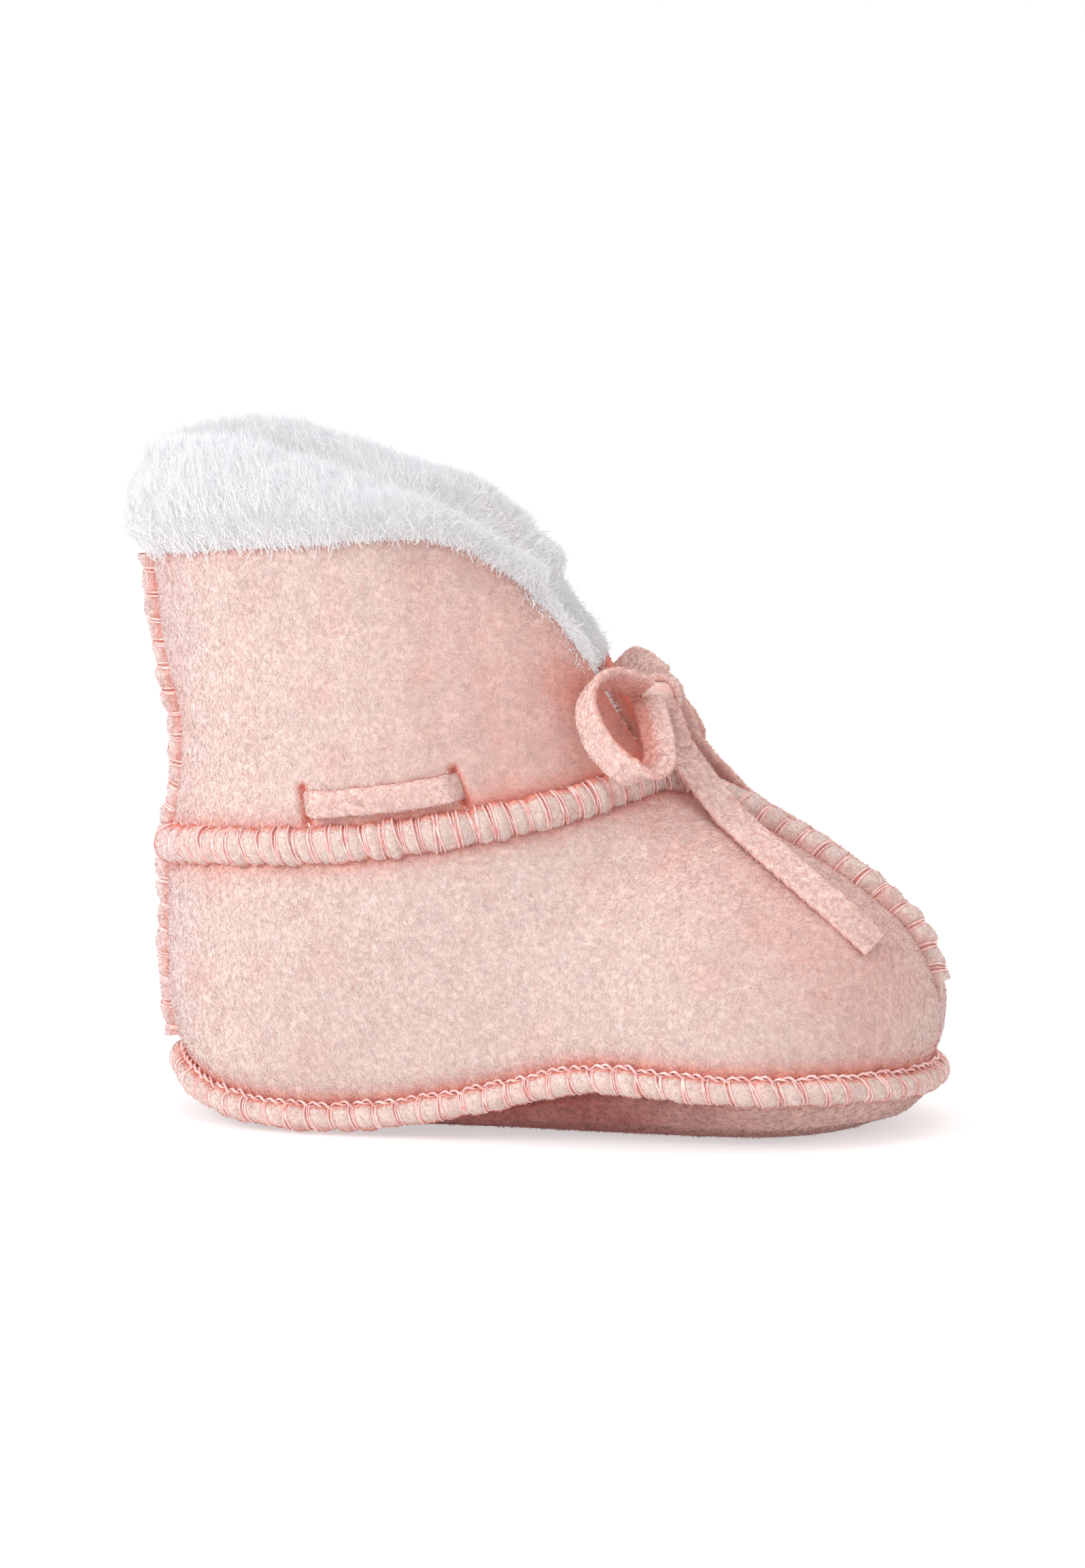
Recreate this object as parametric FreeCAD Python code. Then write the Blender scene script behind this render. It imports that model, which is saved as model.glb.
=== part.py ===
import FreeCAD, Part
import math
import os

# Fur-lined baby bootie, in millimetres. +X points to the toe, +Y to the wearer's left, +Z up.
# The sole stands on z = 0 and the box of the whole bootie is centred on x = 0 and y = 0.
# The bootie is symmetric about the plane y = 0: every side piece is modelled on the right
# (y < 0) and mirrored for the left.

V = FreeCAD.Vector

# Materials
SUEDE = 1.2              # thickness of the suede panels
FLEECE = 3.6             # wool pile inside the foot
SHAFT_FLEECE = 4.4       # wool pile inside the shaft
COLLAR_PILE = 8.0        # wool pile that stands above the collar
PLY_GAP = 0.3            # air between the suede and the fleece
MIDDLE_GAP = 0.15        # distance of each half from the plane y = 0
EDGE_GAP = 0.016         # share of a panel's height left free at a seam

# Seams: the edges are turned outward into a roll and whip-stitched over
ROLL = 2.0               # height of the roll
ROLL_WIDTH = 1.6         # how far from the seam line the roll falls to a third
THREAD_R = 0.45
STITCH_REACH = 2.3       # how far a stitch goes over the edge to each side
SOLE_STITCH_REACH = 2.0
SOLE_STITCH_DROP = 0.5   # the sole's stitches lie this far below the seam line
MIDDLE_STITCH_REACH = 2.0
STITCH_SLANT = 0.7
SOLE_PITCH = 3.8
BACK_PITCH = 3.7
ANKLE_PITCH = 2.7
CENTRE_PITCH = 4.0

# Lace: a flat suede strap
LACE_WIDTH = 4.6
LACE_THICK = 1.3
LACE_LOW = 0.085         # share of the shaft's height at the lace's lower edge
LACE_HIGH = 0.195
LACE_DEPTH = 0.15        # air between the lace and the suede it lies on
SLIT_BACK = 0.40         # shares of the ankle's length at which the lace dips through the suede
SLIT_FRONT = 0.66
SLIT_HALF = 0.014
KNOT_SIZE = (7.0, 8.0, 7.0)
KNOT_CENTRE = V(16.6, 0, 60.0)
KNOT_ROUND = 2.2
TAIL_LIFT = 0.95         # air between a loose end and the vamp under it
HIDDEN = -SUEDE - LACE_DEPTH - LACE_THICK   # offset of the lace where it runs behind the suede

# Collar
COLLAR_RISE = 11.5       # how far the wool stands above the suede
COLLAR_RISE_FRONT = 5.0
FRONT_WOOL = 5.5         # how far the wool stands out of the front edge
FOLD_GAP = 0.5           # cut between the shaft and its front flap
FOLD_LOW = V(6.5, -8.2, 67.0)
FOLD_HIGH = V(-27.0, -21.0, 83.0)

# Sole
STANDING_INSET = 9.0     # the flat foot of the sole starts this far inside the seam
BELLY_INSET = 3.5
SOLE_THICK = 2.0
FOOTBED = 8.0            # level of the wool under the foot

# Seam lines of the right half, from heel to toe: (x, distance from the middle, z)
SOLE_SEAM = [(-51.5, 0, 9.0), (-48, 10.5, 6.6), (-39.5, 18, 4.4), (-23, 21.4, 4.1), (-11, 22.5, 6.0),
             (-1, 23.4, 8.3), (10, 24.9, 10.8), (21, 26, 10.4), (36, 25.5, 9.8), (47.5, 19, 9.6),
             (54, 9.5, 9.1), (56, 0, 9.0)]
ANKLE_SEAM = [(-53.2, 0, 38), (-49, 11.5, 39.2), (-39, 19.5, 40.3), (-25, 22.5, 41.4),
              (-8, 21.5, 43.8), (5, 15.5, 46.2), (13, 8.5, 48.2), (17.5, 3.6, 49)]
CENTRE_SEAM = [(21.5, 1.0, 48.2), (27, 0, 45.6), (35, 0, 41.2), (46, 0, 34.2), (53, 0, 27.6), (56.2, 0, 20.4)]
COLLAR_EDGE = [(-55.4, 0, 79.3), (-52, 10.5, 80.3), (-42.5, 18.5, 81.8), (-30, 21, 83), (-18, 19.5, 84.8),
               (-9.5, 15, 85.2), (-5, 9, 83.4)]
BACK_SEAM_LOW = [(-51.5, 0, 9.0), (-52.9, 0, 18), (-53, 0, 29), (-53.2, 0, 38)]
BACK_SEAM_HIGH = [(-53.2, 0, 38), (-51.2, 0, 49), (-53.2, 0, 64), (-55.4, 0, 79.3)]
FRONT_EDGE = [(17.5, 3.6, 49), (12.2, 6.4, 58), (7.4, 8.2, 66), (1.5, 9, 74), (-5, 9, 83.4)]
TOE_LINE = [(56, 0, 9.0), (56.4, 0, 15), (56.2, 0, 20.4)]

# The right loop of the bow, from the knot and back to it, and the direction of its width
LOOP_RIGHT = [V(15.4, -6.3, 62.0), V(11.2, -10.2, 64.8), V(8.0, -15.2, 62.2), V(10.0, -18.8, 56.5),
              V(15.4, -19.5, 51.2), V(19.6, -16.5, 51.5), V(19.4, -11.5, 55.6), V(17.8, -6.4, 58.8)]
LOOP_RIGHT_ACROSS = V(-0.6, 0.45, -0.65)
# The right loose end lies along this line of the foot, given by shares of its length and height
TAIL_START = (0.665, 0.93)
TAIL_END = (0.84, 0.50)
TAIL_ROOT = V(19.4, -4.6, 54.4)

UP = V(0, 0, 1)
SIDEWAYS = V(0, 1, 0)


class Line:
    """A smooth line through a few points of the right half, read by its share of the length.

    crosses names the ends at which the line runs squarely through the middle plane.
    """

    def __init__(self, points, crosses=()):
        ends = [V(x, -y, z) for x, y, z in points]
        path = list(ends)
        if "start" in crosses:
            path.insert(0, V(ends[1].x, -ends[1].y, ends[1].z))
        if "end" in crosses:
            path.append(V(ends[-2].x, -ends[-2].y, ends[-2].z))
        self.curve = Part.BSplineCurve()
        self.curve.interpolate(Points=path)
        self.start = self.curve.parameter(ends[0])
        self.length = self.curve.length(self.start, self.curve.parameter(ends[-1]))
        self.known = {}

    def at(self, share):
        share = round(min(max(share, 0), 1), 5)
        if share not in self.known:
            place = self.curve.parameterAtDistance(self.length * share, self.start)
            self.known[share] = self.curve.value(place)
        return self.known[share]

    def share_of(self, point):
        """The share of the length at which the line passes the point."""
        return self.curve.length(self.start, self.curve.parameter(point)) / self.length


class Patch:
    """A curved four-sided surface between four lines, bulged outward by a share of its height."""

    def __init__(self, low, high, back, front, bulge, low_end=1.0, high_end=1.0):
        self.low, self.high, self.back, self.front = low, high, back, front
        self.low_end, self.high_end = low_end, high_end
        self.bulge = bulge

    def flat(self, u, s):
        """The blended surface before it is bulged. u runs from heel to toe, s from low to high."""
        low = self.low.at(u * self.low_end)
        high = self.high.at(u * self.high_end)
        corners = [self.back.at(0), self.back.at(1), self.front.at(0), self.front.at(1)]
        back = self.back.at(s) - corners[0] * (1 - s) - corners[1] * s
        front = self.front.at(s) - corners[2] * (1 - s) - corners[3] * s
        return low * (1 - s) + high * s + back * (1 - u) ** 2 + front * u ** 2

    def inside(self, u, s):
        """A point of the surface, for u and s from 0 to 1."""
        step = 0.01
        centre = min(max(u, step), 1 - step)
        along = self.flat(centre + step, s) - self.flat(centre - step, s)
        rise = self.flat(u, 1) - self.flat(u, 0)
        outward = along.cross(rise)
        if outward.Length > 1e-6:
            outward.normalize()
        return self.flat(u, s) + outward * (self.bulge(u) * rise.Length * math.sin(math.pi * s))

    def point(self, u, s):
        """A point of the surface; past its edges it goes on straight."""
        step = 0.02
        u_in = min(max(u, 0), 1)
        s_in = min(max(s, 0), 1)
        point = self.inside(u_in, s_in)
        if u > 1:
            point = point + (point - self.inside(1 - step, s_in)) * ((u - 1) / step)
        if s > 1:
            point = point + (self.inside(u_in, 1) - self.inside(u_in, 1 - step)) * ((s - 1) / step)
        return point

    def normal(self, u, s):
        """The outward direction, read a little inside the edges."""
        u = min(max(u, 0.02), 0.98)
        s = min(max(s, 0.03), 0.97)
        along = self.inside(u + 0.01, s) - self.inside(u - 0.01, s)
        rise = self.inside(u, s + 0.01) - self.inside(u, s - 0.01)
        return along.cross(rise).normalize()


def spread(start, end, count):
    """Evenly spaced values from start to end."""
    return [start + (end - start) * i / (count - 1) for i in range(count)]


def layer(patch, u_values, s_values, outer, inner, route=None, middle=MIDDLE_GAP):
    """A closed solid between two offsets of a patch. route turns (u, s) into places on the patch."""
    grids = []
    for offset in (outer, inner):
        grid = []
        for u in u_values:
            row = []
            for s in s_values:
                place = route(u, s) if route else (u, s)
                point = patch.point(*place) + patch.normal(*place) * offset(u, s)
                row.append(V(point.x, min(point.y, -middle), point.z))
            grid.append(row)
        grids.append(grid)
    surfaces = []
    for grid in grids:
        surface = Part.BSplineSurface()
        surface.interpolate(grid)
        surfaces.append(surface)
    faces = [surface.toShape() for surface in surfaces]
    first, second = surfaces
    u0, u1, v0, v1 = first.bounds()
    a0, a1, b0, b1 = second.bounds()
    rims = [(first.uIso(u0), second.uIso(a0)), (first.uIso(u1), second.uIso(a1)),
            (first.vIso(v0), second.vIso(b0)), (first.vIso(v1), second.vIso(b1))]
    for one, other in rims:
        faces.append(Part.makeRuledSurface(one.toShape(), other.toShape()))
    shell = Part.Shell(faces)
    shell.sewShape()
    solid = Part.Solid(shell)
    if solid.Volume < 0:
        solid.reverse()
    return solid


def hill(distance):
    """The height of a seam roll at a distance from its seam line."""
    return ROLL * math.exp(-(distance / ROLL_WIDTH) ** 2)


def mirrored(shape):
    """The same piece on the left."""
    return shape.mirror(V(0, 0, 0), V(0, 1, 0))


def save(name, shape):
    """Write one node and print what it holds."""
    shape.exportStep("parts/" + name + ".step")
    box = shape.BoundBox
    print(name, "solids", len(shape.Solids), "valid", shape.isValid(), "volume", round(shape.Volume, 1),
          "x", round(box.XMin, 1), round(box.XMax, 1), "y", round(box.YMin, 1), round(box.YMax, 1),
          "z", round(box.ZMin, 1), round(box.ZMax, 1))


def save_pair(name, shape):
    """Write a right piece and its mirror image."""
    save(name + "_right", shape)
    save(name + "_left", mirrored(shape))


sole_line = Line(SOLE_SEAM, crosses=("start", "end"))
top_line = Line(ANKLE_SEAM + CENTRE_SEAM, crosses=("start",))
collar_line = Line(COLLAR_EDGE, crosses=("start",))
back_low = Line(BACK_SEAM_LOW)
back_high = Line(BACK_SEAM_HIGH)
front_line = Line(FRONT_EDGE)
toe_line = Line(TOE_LINE)
throat = V(ANKLE_SEAM[-1][0], -ANKLE_SEAM[-1][1], ANKLE_SEAM[-1][2])
THROAT_SHARE = top_line.share_of(throat)


def lower_bulge(u):
    """Nearly flat at the heel, a quarter circle over the toes."""
    vamp = 1 / (1 + math.exp(-(u - 0.6) / 0.05))
    ends = min(1, u / 0.12) * min(1, (1 - u) / 0.12)
    return (0.05 + 0.15 * vamp) * math.sin(ends * math.pi / 2)


def shaft_bulge(u):
    """The shaft wall is straight from the ankle to the collar."""
    return 0.0


lower = Patch(sole_line, top_line, back_low, toe_line, lower_bulge)
shaft = Patch(top_line, collar_line, back_high, front_line, shaft_bulge, low_end=THROAT_SHARE)


def height(patch, u):
    """The length of a patch from its low to its high edge."""
    return (patch.inside(u, 1) - patch.inside(u, 0)).Length


def lower_outer(u, s):
    """The suede of the foot: rolled at the sole, ankle, centre and back seams."""
    rise = height(lower, u)
    back = lower.low.length * u
    return max(hill(rise * s), hill(rise * (1 - s)), hill(back))


def shaft_outer(u, s):
    """The suede of the shaft: rolled at the ankle and back seams."""
    back = top_line.length * THROAT_SHARE * u
    return max(hill(height(shaft, u) * s), hill(back))


def flat_layer(offset):
    """The same offset all over."""
    return lambda u, s: offset


def groove(s):
    """How much deeper the wool lies behind the lace."""
    middle = (LACE_LOW + LACE_HIGH) / 2
    return (LACE_THICK + 0.7) * math.exp(-((s - middle) / 0.095) ** 4)


def ramp(value, start, end):
    """0 below start, 1 above end, smooth between."""
    share = min(max((value - start) / (end - start), 0), 1)
    return share * share * (3 - 2 * share)


# Rows are closer together beside the seams, where the roll rises.
PANEL_U = [0, 0.02, 0.045, 0.075, 0.11] + spread(0.16, 0.97, 22) + [1.0]
LOWER_S = ([EDGE_GAP, 0.035, 0.065, 0.1, 0.15] + spread(0.22, 0.78, 8)
           + [0.85, 0.9, 0.935, 0.965, 1 - EDGE_GAP])
SHAFT_S = [EDGE_GAP, 0.03, 0.06, 0.1, 0.15] + spread(0.22, 1.0, 10)


def sole_ring(inset, level):
    """A closed line around the sole, inset from its seam, at a level worked out from the seam's."""
    right = []
    for share in spread(0, 1, 17):
        point = sole_line.at(share)
        along = sole_line.at(share + 0.01) - sole_line.at(share - 0.01)
        inward = V(-along.y, along.x, 0).normalize()
        right.append(V(point.x + inward.x * inset, min(point.y + inward.y * inset, 0), level(point.z)))
    left = [V(p.x, -p.y, p.z) for p in reversed(right[1:-1])]
    curve = Part.BSplineCurve()
    curve.interpolate(Points=right + left, PeriodicFlag=True)
    return Part.Wire([curve.toShape()])


def belly(z):
    """The rounded underside of the sole between its flat foot and its rim."""
    return 0.25 * (z - 3)


def make_outsole():
    rings = [sole_ring(STANDING_INSET, lambda z: 0),
             sole_ring(BELLY_INSET, belly),
             sole_ring(-ROLL * 0.6, lambda z: z - 2.3),
             sole_ring(-ROLL, lambda z: z - 0.7),
             sole_ring(SUEDE, lambda z: z - 0.7),
             sole_ring(BELLY_INSET - 0.5, lambda z: belly(z) + SOLE_THICK),
             sole_ring(STANDING_INSET, lambda z: SOLE_THICK)]
    return Part.makeLoft(rings, True, True)


def make_sole_fleece():
    rings = [sole_ring(STANDING_INSET + 0.6, lambda z: SOLE_THICK + PLY_GAP),
             sole_ring(BELLY_INSET + 0.2, lambda z: belly(z) + SOLE_THICK + 2 * PLY_GAP),
             sole_ring(BELLY_INSET - 0.2, lambda z: FOOTBED - 1.6),
             sole_ring(BELLY_INSET + 1.2, lambda z: FOOTBED)]
    return Part.makeLoft(rings, True, True)


def make_lower_panel():
    return layer(lower, PANEL_U, LOWER_S, lower_outer, flat_layer(-SUEDE))


def make_lower_fleece():
    top = 0.965

    def route(u, s):
        low = lower.low.at(u).z
        start = max(0.03, (FOOTBED + 0.7 - low) / (lower.high.at(u).z - low))
        return u, start + (top - start) * s

    outer = flat_layer(-SUEDE - PLY_GAP)
    inner = flat_layer(-SUEDE - PLY_GAP - FLEECE)
    return layer(lower, spread(0, 0.985, 26), spread(0, 1, 12), outer, inner, route)


def make_shaft_panel():
    """The whole suede wall of the shaft with its two lace slits."""
    wall = layer(shaft, PANEL_U, SHAFT_S, shaft_outer, flat_layer(-SUEDE))
    for slit in (SLIT_BACK, SLIT_FRONT):
        across = spread(slit - SLIT_HALF, slit + SLIT_HALF, 4)
        rise = spread(LACE_LOW - 0.01, LACE_HIGH + 0.01, 4)
        hole = layer(shaft, across, rise, flat_layer(3), flat_layer(-3))
        wall = wall.cut(hole)
    return wall.Solids[0]


def make_shaft_fleece():
    """The wool inside the shaft and the collar of wool above it, one piece per side."""
    length = shaft.low.length * THROAT_SHARE

    def route(u, s):
        wool = FRONT_WOOL / length + 0.035
        across = u * (0.965 + wool * ramp(s, 0.40, 0.58))
        if s <= 1:
            return across, s
        rise = COLLAR_RISE + (COLLAR_RISE_FRONT - COLLAR_RISE) * ramp(u, 0.72, 1)
        return across, 1 + (s - 1) * rise / height(shaft, min(across, 1))

    def outer(u, s):
        flare = 1.1 * ramp(s, 1.0, 1.2) * (1 - ramp(s, 1.5, 2.0)) - 1.2 * ramp(s, 1.6, 2.0)
        return -SUEDE - PLY_GAP - groove(s) + flare

    def inner(u, s):
        thick = SHAFT_FLEECE + (COLLAR_PILE - SHAFT_FLEECE) * ramp(s, 0.85, 1.1)
        return -SUEDE - PLY_GAP - thick + 1.5 * ramp(s, 1.5, 2.0)

    rows = [0.02, 0.06, 0.14, 0.22, 0.32, 0.5, 0.7, 0.9, 1.1, 1.3, 1.6, 2.0]
    return layer(shaft, spread(0, 1, 14), rows, outer, inner, route)


def flap_region(grow):
    """The part of the right half that folds open with the collar, grown or shrunk on its cut side."""
    along = (FOLD_LOW - FOLD_HIGH)
    slope = along.z / along.x
    front, top = 60, 120
    corners = [V(FOLD_HIGH.x - grow, 0, top), V(FOLD_HIGH.x - grow, 0, FOLD_HIGH.z - grow),
               V(front, 0, FOLD_LOW.z + slope * (front - FOLD_LOW.x) - grow), V(front, 0, top)]
    face = Part.Face(Part.makePolygon(corners + corners[:1]))
    return face.extrude(V(0, -front, 0))


def fold(wall):
    """Part a wall into the fixed piece and the flap."""
    fixed = wall.cut(flap_region(FOLD_GAP / 2))
    flap = wall.common(flap_region(-FOLD_GAP / 2))
    return fixed.Solids[0], flap.Solids[0]


def strap(points, across, count=18, half_width=LACE_WIDTH / 2):
    """A flat strap along a smooth line. across is the direction of its width at a share of the line."""
    curve = Part.BSplineCurve()
    curve.interpolate(Points=points)
    sections = []
    for share in spread(0, 1, count):
        place = curve.FirstParameter + share * (curve.LastParameter - curve.FirstParameter)
        point = curve.value(place)
        tangent = curve.tangent(place)[0]
        side = across(share)
        side = (side - tangent * side.dot(tangent)).normalize() * half_width
        up = tangent.cross(side).normalize() * (LACE_THICK / 2)
        corners = [point - side - up, point + side - up, point + side + up, point - side + up]
        sections.append(Part.makePolygon(corners + corners[:1]))
    return Part.makeLoft(sections, True, False)


def lace_layer(u_values, lift, middle=MIDDLE_GAP):
    """A stretch of lace along the shaft wall; lift is the offset of its inner face."""
    def outer(u, s):
        return lift(u) + LACE_THICK

    def inner(u, s):
        return lift(u)

    return layer(shaft, u_values, spread(LACE_LOW, LACE_HIGH, 4), outer, inner, middle=middle)



def make_lace_side_run():
    """The stretch that shows outside, dipping through a slit at each end."""
    def lift(u):
        shown = ramp(u, SLIT_BACK - SLIT_HALF, SLIT_BACK + SLIT_HALF)
        shown = shown * (1 - ramp(u, SLIT_FRONT - SLIT_HALF, SLIT_FRONT + SLIT_HALF))
        return HIDDEN + (LACE_DEPTH + 0.1 - HIDDEN) * shown

    ends = spread(SLIT_BACK - SLIT_HALF, SLIT_BACK + SLIT_HALF, 5)
    rest = spread(SLIT_FRONT - SLIT_HALF, SLIT_FRONT + SLIT_HALF, 5)
    return lace_layer(ends + spread(SLIT_BACK + 0.03, SLIT_FRONT - 0.03, 10) + rest, lift)


def make_lace_front_run():
    """The hidden stretch from the front slit to the throat."""
    return lace_layer(spread(SLIT_FRONT + SLIT_HALF + 0.005, 0.98, 12), lambda u: HIDDEN)


def make_lace_back_run():
    """The hidden stretch around the heel, from one rear slit to the other."""
    right = lace_layer(spread(0.0, SLIT_BACK - SLIT_HALF - 0.005, 14), lambda u: HIDDEN, middle=0)
    return right.fuse(mirrored(right)).removeSplitter()


def make_lace_knot():
    corner = KNOT_CENTRE - V(*KNOT_SIZE) * 0.5
    box = Part.makeBox(*KNOT_SIZE, corner)
    return box.makeFillet(KNOT_ROUND, box.Edges)


def make_lace_loop():
    return strap(LOOP_RIGHT, lambda share: LOOP_RIGHT_ACROSS, 22)


def make_lace_tail():
    """A loose end that lies on the vamp, just clear of it."""
    clear = LACE_THICK / 2 + TAIL_LIFT
    points = []
    for share in spread(0, 1, 7):
        u = TAIL_START[0] + (TAIL_END[0] - TAIL_START[0]) * share
        s = TAIL_START[1] + (TAIL_END[1] - TAIL_START[1]) * share
        points.append(lower.point(u, s) + lower.normal(u, s) * clear)
    points[0] = TAIL_ROOT

    def across(share):
        u = TAIL_START[0] + (TAIL_END[0] - TAIL_START[0]) * share
        s = TAIL_START[1] + (TAIL_END[1] - TAIL_START[1]) * share
        along = lower.point(TAIL_END[0], TAIL_END[1]) - lower.point(TAIL_START[0], TAIL_START[1])
        return along.cross(lower.normal(u, s))

    return strap(points, across)


def whip(point, outward, across, along, reach):
    """One stitch: a bent bar of thread over the rolled edges, slanted along the seam."""
    slant = along * STITCH_SLANT
    foot = outward * 0.5
    start = point - across * reach + foot - slant
    end = point + across * reach + foot + slant
    top = point + outward * (ROLL + THREAD_R + 0.1)
    arc = Part.Arc(start, top, end)
    path = Part.Wire([arc.toShape()])
    tangent = arc.tangent(arc.FirstParameter)[0]
    section = Part.Wire([Part.makeCircle(THREAD_R, start, tangent)])
    return path.makePipeShell([section], True, True)


def seam(line, start, end, pitch, frame):
    """Evenly pitched stitches along a stretch of a line. frame gives outward and across from the tangent."""
    count = round(line.length * (end - start) / pitch)
    stitches = []
    for i in range(count):
        share = start + (i + 0.5) * (end - start) / count
        along = (line.at(share + 0.003) - line.at(share - 0.003)).normalize()
        outward, across, reach, shift = frame(along)
        stitches.append(whip(line.at(share) + shift, outward, across, along, reach))
    return stitches


def level_seam(along):
    """A seam that runs around the foot: the stitch crosses it up and down."""
    return along.cross(UP).normalize(), UP, STITCH_REACH, V(0, 0, 0)


def sole_seam(along):
    """The seam around the sole, stitched a little below its line."""
    return along.cross(UP).normalize(), UP, SOLE_STITCH_REACH, -UP * SOLE_STITCH_DROP


def middle_seam(along):
    """A seam in the middle plane: the stitch crosses it from side to side."""
    return along.cross(SIDEWAYS), SIDEWAYS, MIDDLE_STITCH_REACH, V(0, 0, 0)


def main():
    os.makedirs("parts", exist_ok=True)
    save("outsole", make_outsole())
    save("sole_fleece", make_sole_fleece())
    save_pair("lower_panel", make_lower_panel())
    save_pair("lower_fleece", make_lower_fleece())
    shaft_panel, collar_flap = fold(make_shaft_panel())
    save_pair("shaft_panel", shaft_panel)
    save_pair("collar_flap", collar_flap)
    shaft_fleece, flap_fleece = fold(make_shaft_fleece())
    save_pair("shaft_fleece", shaft_fleece)
    save_pair("flap_fleece", flap_fleece)
    save_pair("lace_side_run", make_lace_side_run())
    save_pair("lace_front_run", make_lace_front_run())
    save("lace_back_run", make_lace_back_run())
    save("lace_knot", make_lace_knot())
    save_pair("lace_loop", make_lace_loop())
    save_pair("lace_tail", make_lace_tail())
    ankle = seam(top_line, 0.02, THROAT_SHARE - 0.02, ANKLE_PITCH, level_seam)
    save_pair("ankle_stitching", Part.makeCompound(ankle))
    right = seam(sole_line, 0, 1, SOLE_PITCH, sole_seam)
    save("sole_stitching", Part.makeCompound(right + [mirrored(stitch) for stitch in right]))
    centre = seam(top_line, THROAT_SHARE + 0.06, 1, CENTRE_PITCH, middle_seam)
    save("centre_stitching", Part.makeCompound(centre))
    back = seam(back_low, 0.06, 0.97, BACK_PITCH, middle_seam)
    back += seam(back_high, 0.03, 1, BACK_PITCH, middle_seam)
    save("back_stitching", Part.makeCompound(back))


main()
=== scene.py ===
import math

import bpy
import numpy as np
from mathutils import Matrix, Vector


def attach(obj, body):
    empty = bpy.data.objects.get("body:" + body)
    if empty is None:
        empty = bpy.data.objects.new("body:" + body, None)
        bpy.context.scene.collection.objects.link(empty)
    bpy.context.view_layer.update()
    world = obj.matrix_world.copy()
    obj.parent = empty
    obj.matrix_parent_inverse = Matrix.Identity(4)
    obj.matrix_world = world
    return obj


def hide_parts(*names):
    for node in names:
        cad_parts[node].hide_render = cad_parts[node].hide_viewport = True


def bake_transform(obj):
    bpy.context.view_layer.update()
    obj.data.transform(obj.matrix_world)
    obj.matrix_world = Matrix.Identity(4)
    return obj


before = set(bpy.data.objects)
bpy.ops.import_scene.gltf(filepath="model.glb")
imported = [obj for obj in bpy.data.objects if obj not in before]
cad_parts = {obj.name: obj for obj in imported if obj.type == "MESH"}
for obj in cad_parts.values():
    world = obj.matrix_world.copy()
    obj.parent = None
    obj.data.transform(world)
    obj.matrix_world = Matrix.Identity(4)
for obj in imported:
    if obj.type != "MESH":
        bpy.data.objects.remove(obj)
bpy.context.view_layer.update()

# Fur-lined suede baby bootie. Lengths in this script are millimetres until a mesh is made.
# The seam lines are those of the CAD model, so that every piece lies where its solid lies.
MM = 0.001
UP = np.array([0.0, 0.0, 1.0])
SIDEWAYS = np.array([0.0, 1.0, 0.0])
SIDES = (("right", 1), ("left", -1))

SUEDE = 1.2
FLEECE = 3.6
SHAFT_FLEECE = 4.4
PLY_GAP = 0.3
FOOTBED = 8.0
STANDING_INSET = 9.0
BELLY_INSET = 3.5
COLLAR_RISE = 11.2
COLLAR_RISE_FRONT = 0.5
FRONT_WOOL = 1.8
EDGE_SWELL = 0.016
CORNER_CUT = 0.17

LACE_WIDTH = 4.6
LACE_THICK = 1.3
LACE_LOW = 0.085
LACE_HIGH = 0.195
HIDDEN_DEPTH = 2.2
SLIT_BACK = 0.40
SLIT_FRONT = 0.66
SLIT_OVERLAP = 0.006
KNOT_CENTRE = (16.6, 0, 60.0)

SOLE_SEAM = [(-51.5, 0, 9.0), (-48, 10.5, 6.6), (-39.5, 18, 4.4), (-23, 21.4, 4.1), (-11, 22.5, 6.0),
             (-1, 23.4, 8.3), (10, 24.9, 10.8), (21, 26, 10.4), (36, 25.5, 9.8), (47.5, 19, 9.6),
             (54, 9.5, 9.1), (56, 0, 9.0)]
ANKLE_SEAM = [(-53.2, 0, 38), (-49, 11.5, 39.2), (-39, 19.5, 40.3), (-25, 22.5, 41.4),
              (-8, 21.5, 43.8), (5, 15.5, 46.2), (13, 8.5, 48.2), (17.5, 3.6, 49)]
CENTRE_SEAM = [(21.5, 1.0, 48.2), (27, 0, 45.6), (35, 0, 41.2), (46, 0, 34.2), (53, 0, 27.6),
               (56.2, 0, 20.4)]
COLLAR_EDGE = [(-55.4, 0, 79.3), (-52, 10.5, 80.3), (-42.5, 18.5, 81.8), (-30, 21, 83), (-18, 19.5, 84.8),
               (-9.5, 15, 85.2), (-5, 9, 83.4)]
BACK_SEAM_LOW = [(-51.5, 0, 9.0), (-52.9, 0, 18), (-53, 0, 29), (-53.2, 0, 38)]
BACK_SEAM_HIGH = [(-53.2, 0, 38), (-51.2, 0, 49), (-53.2, 0, 64), (-55.4, 0, 79.3)]
FRONT_EDGE = [(17.5, 3.6, 49), (12.2, 6.4, 58), (7.4, 8.2, 66), (1.5, 9, 74), (-5, 9, 83.4)]
TOE_LINE = [(56, 0, 9.0), (56.4, 0, 15), (56.2, 0, 20.4)]

LOOP_ROUTE = [(15.4, -6.3, 62.0), (11.2, -10.2, 64.8), (8.0, -15.2, 62.2), (10.0, -18.8, 56.5),
              (15.4, -19.5, 51.2), (19.2, -16.5, 51.8), (18.2, -11.5, 56.4), (15.8, -6.0, 60.4)]
LOOP_ACROSS = (np.array([0.6, -0.45, 0.65]), np.array([0.98, 0.1, 0.05]))
NECK_ACROSS = np.array([0.75, 0.1, 0.65])
TAIL_START = (0.665, 0.93)
TAIL_END = (0.84, 0.50)
TAIL_ROOT = (19.4, -4.6, 54.4)
TAIL_CLEAR = LACE_THICK / 2 + 0.95

SAMPLES_A_SPAN = 40
RING_POINTS = 220
SUEDE_INSIDE = -0.02
WOOL_INSIDE = -0.1

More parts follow.
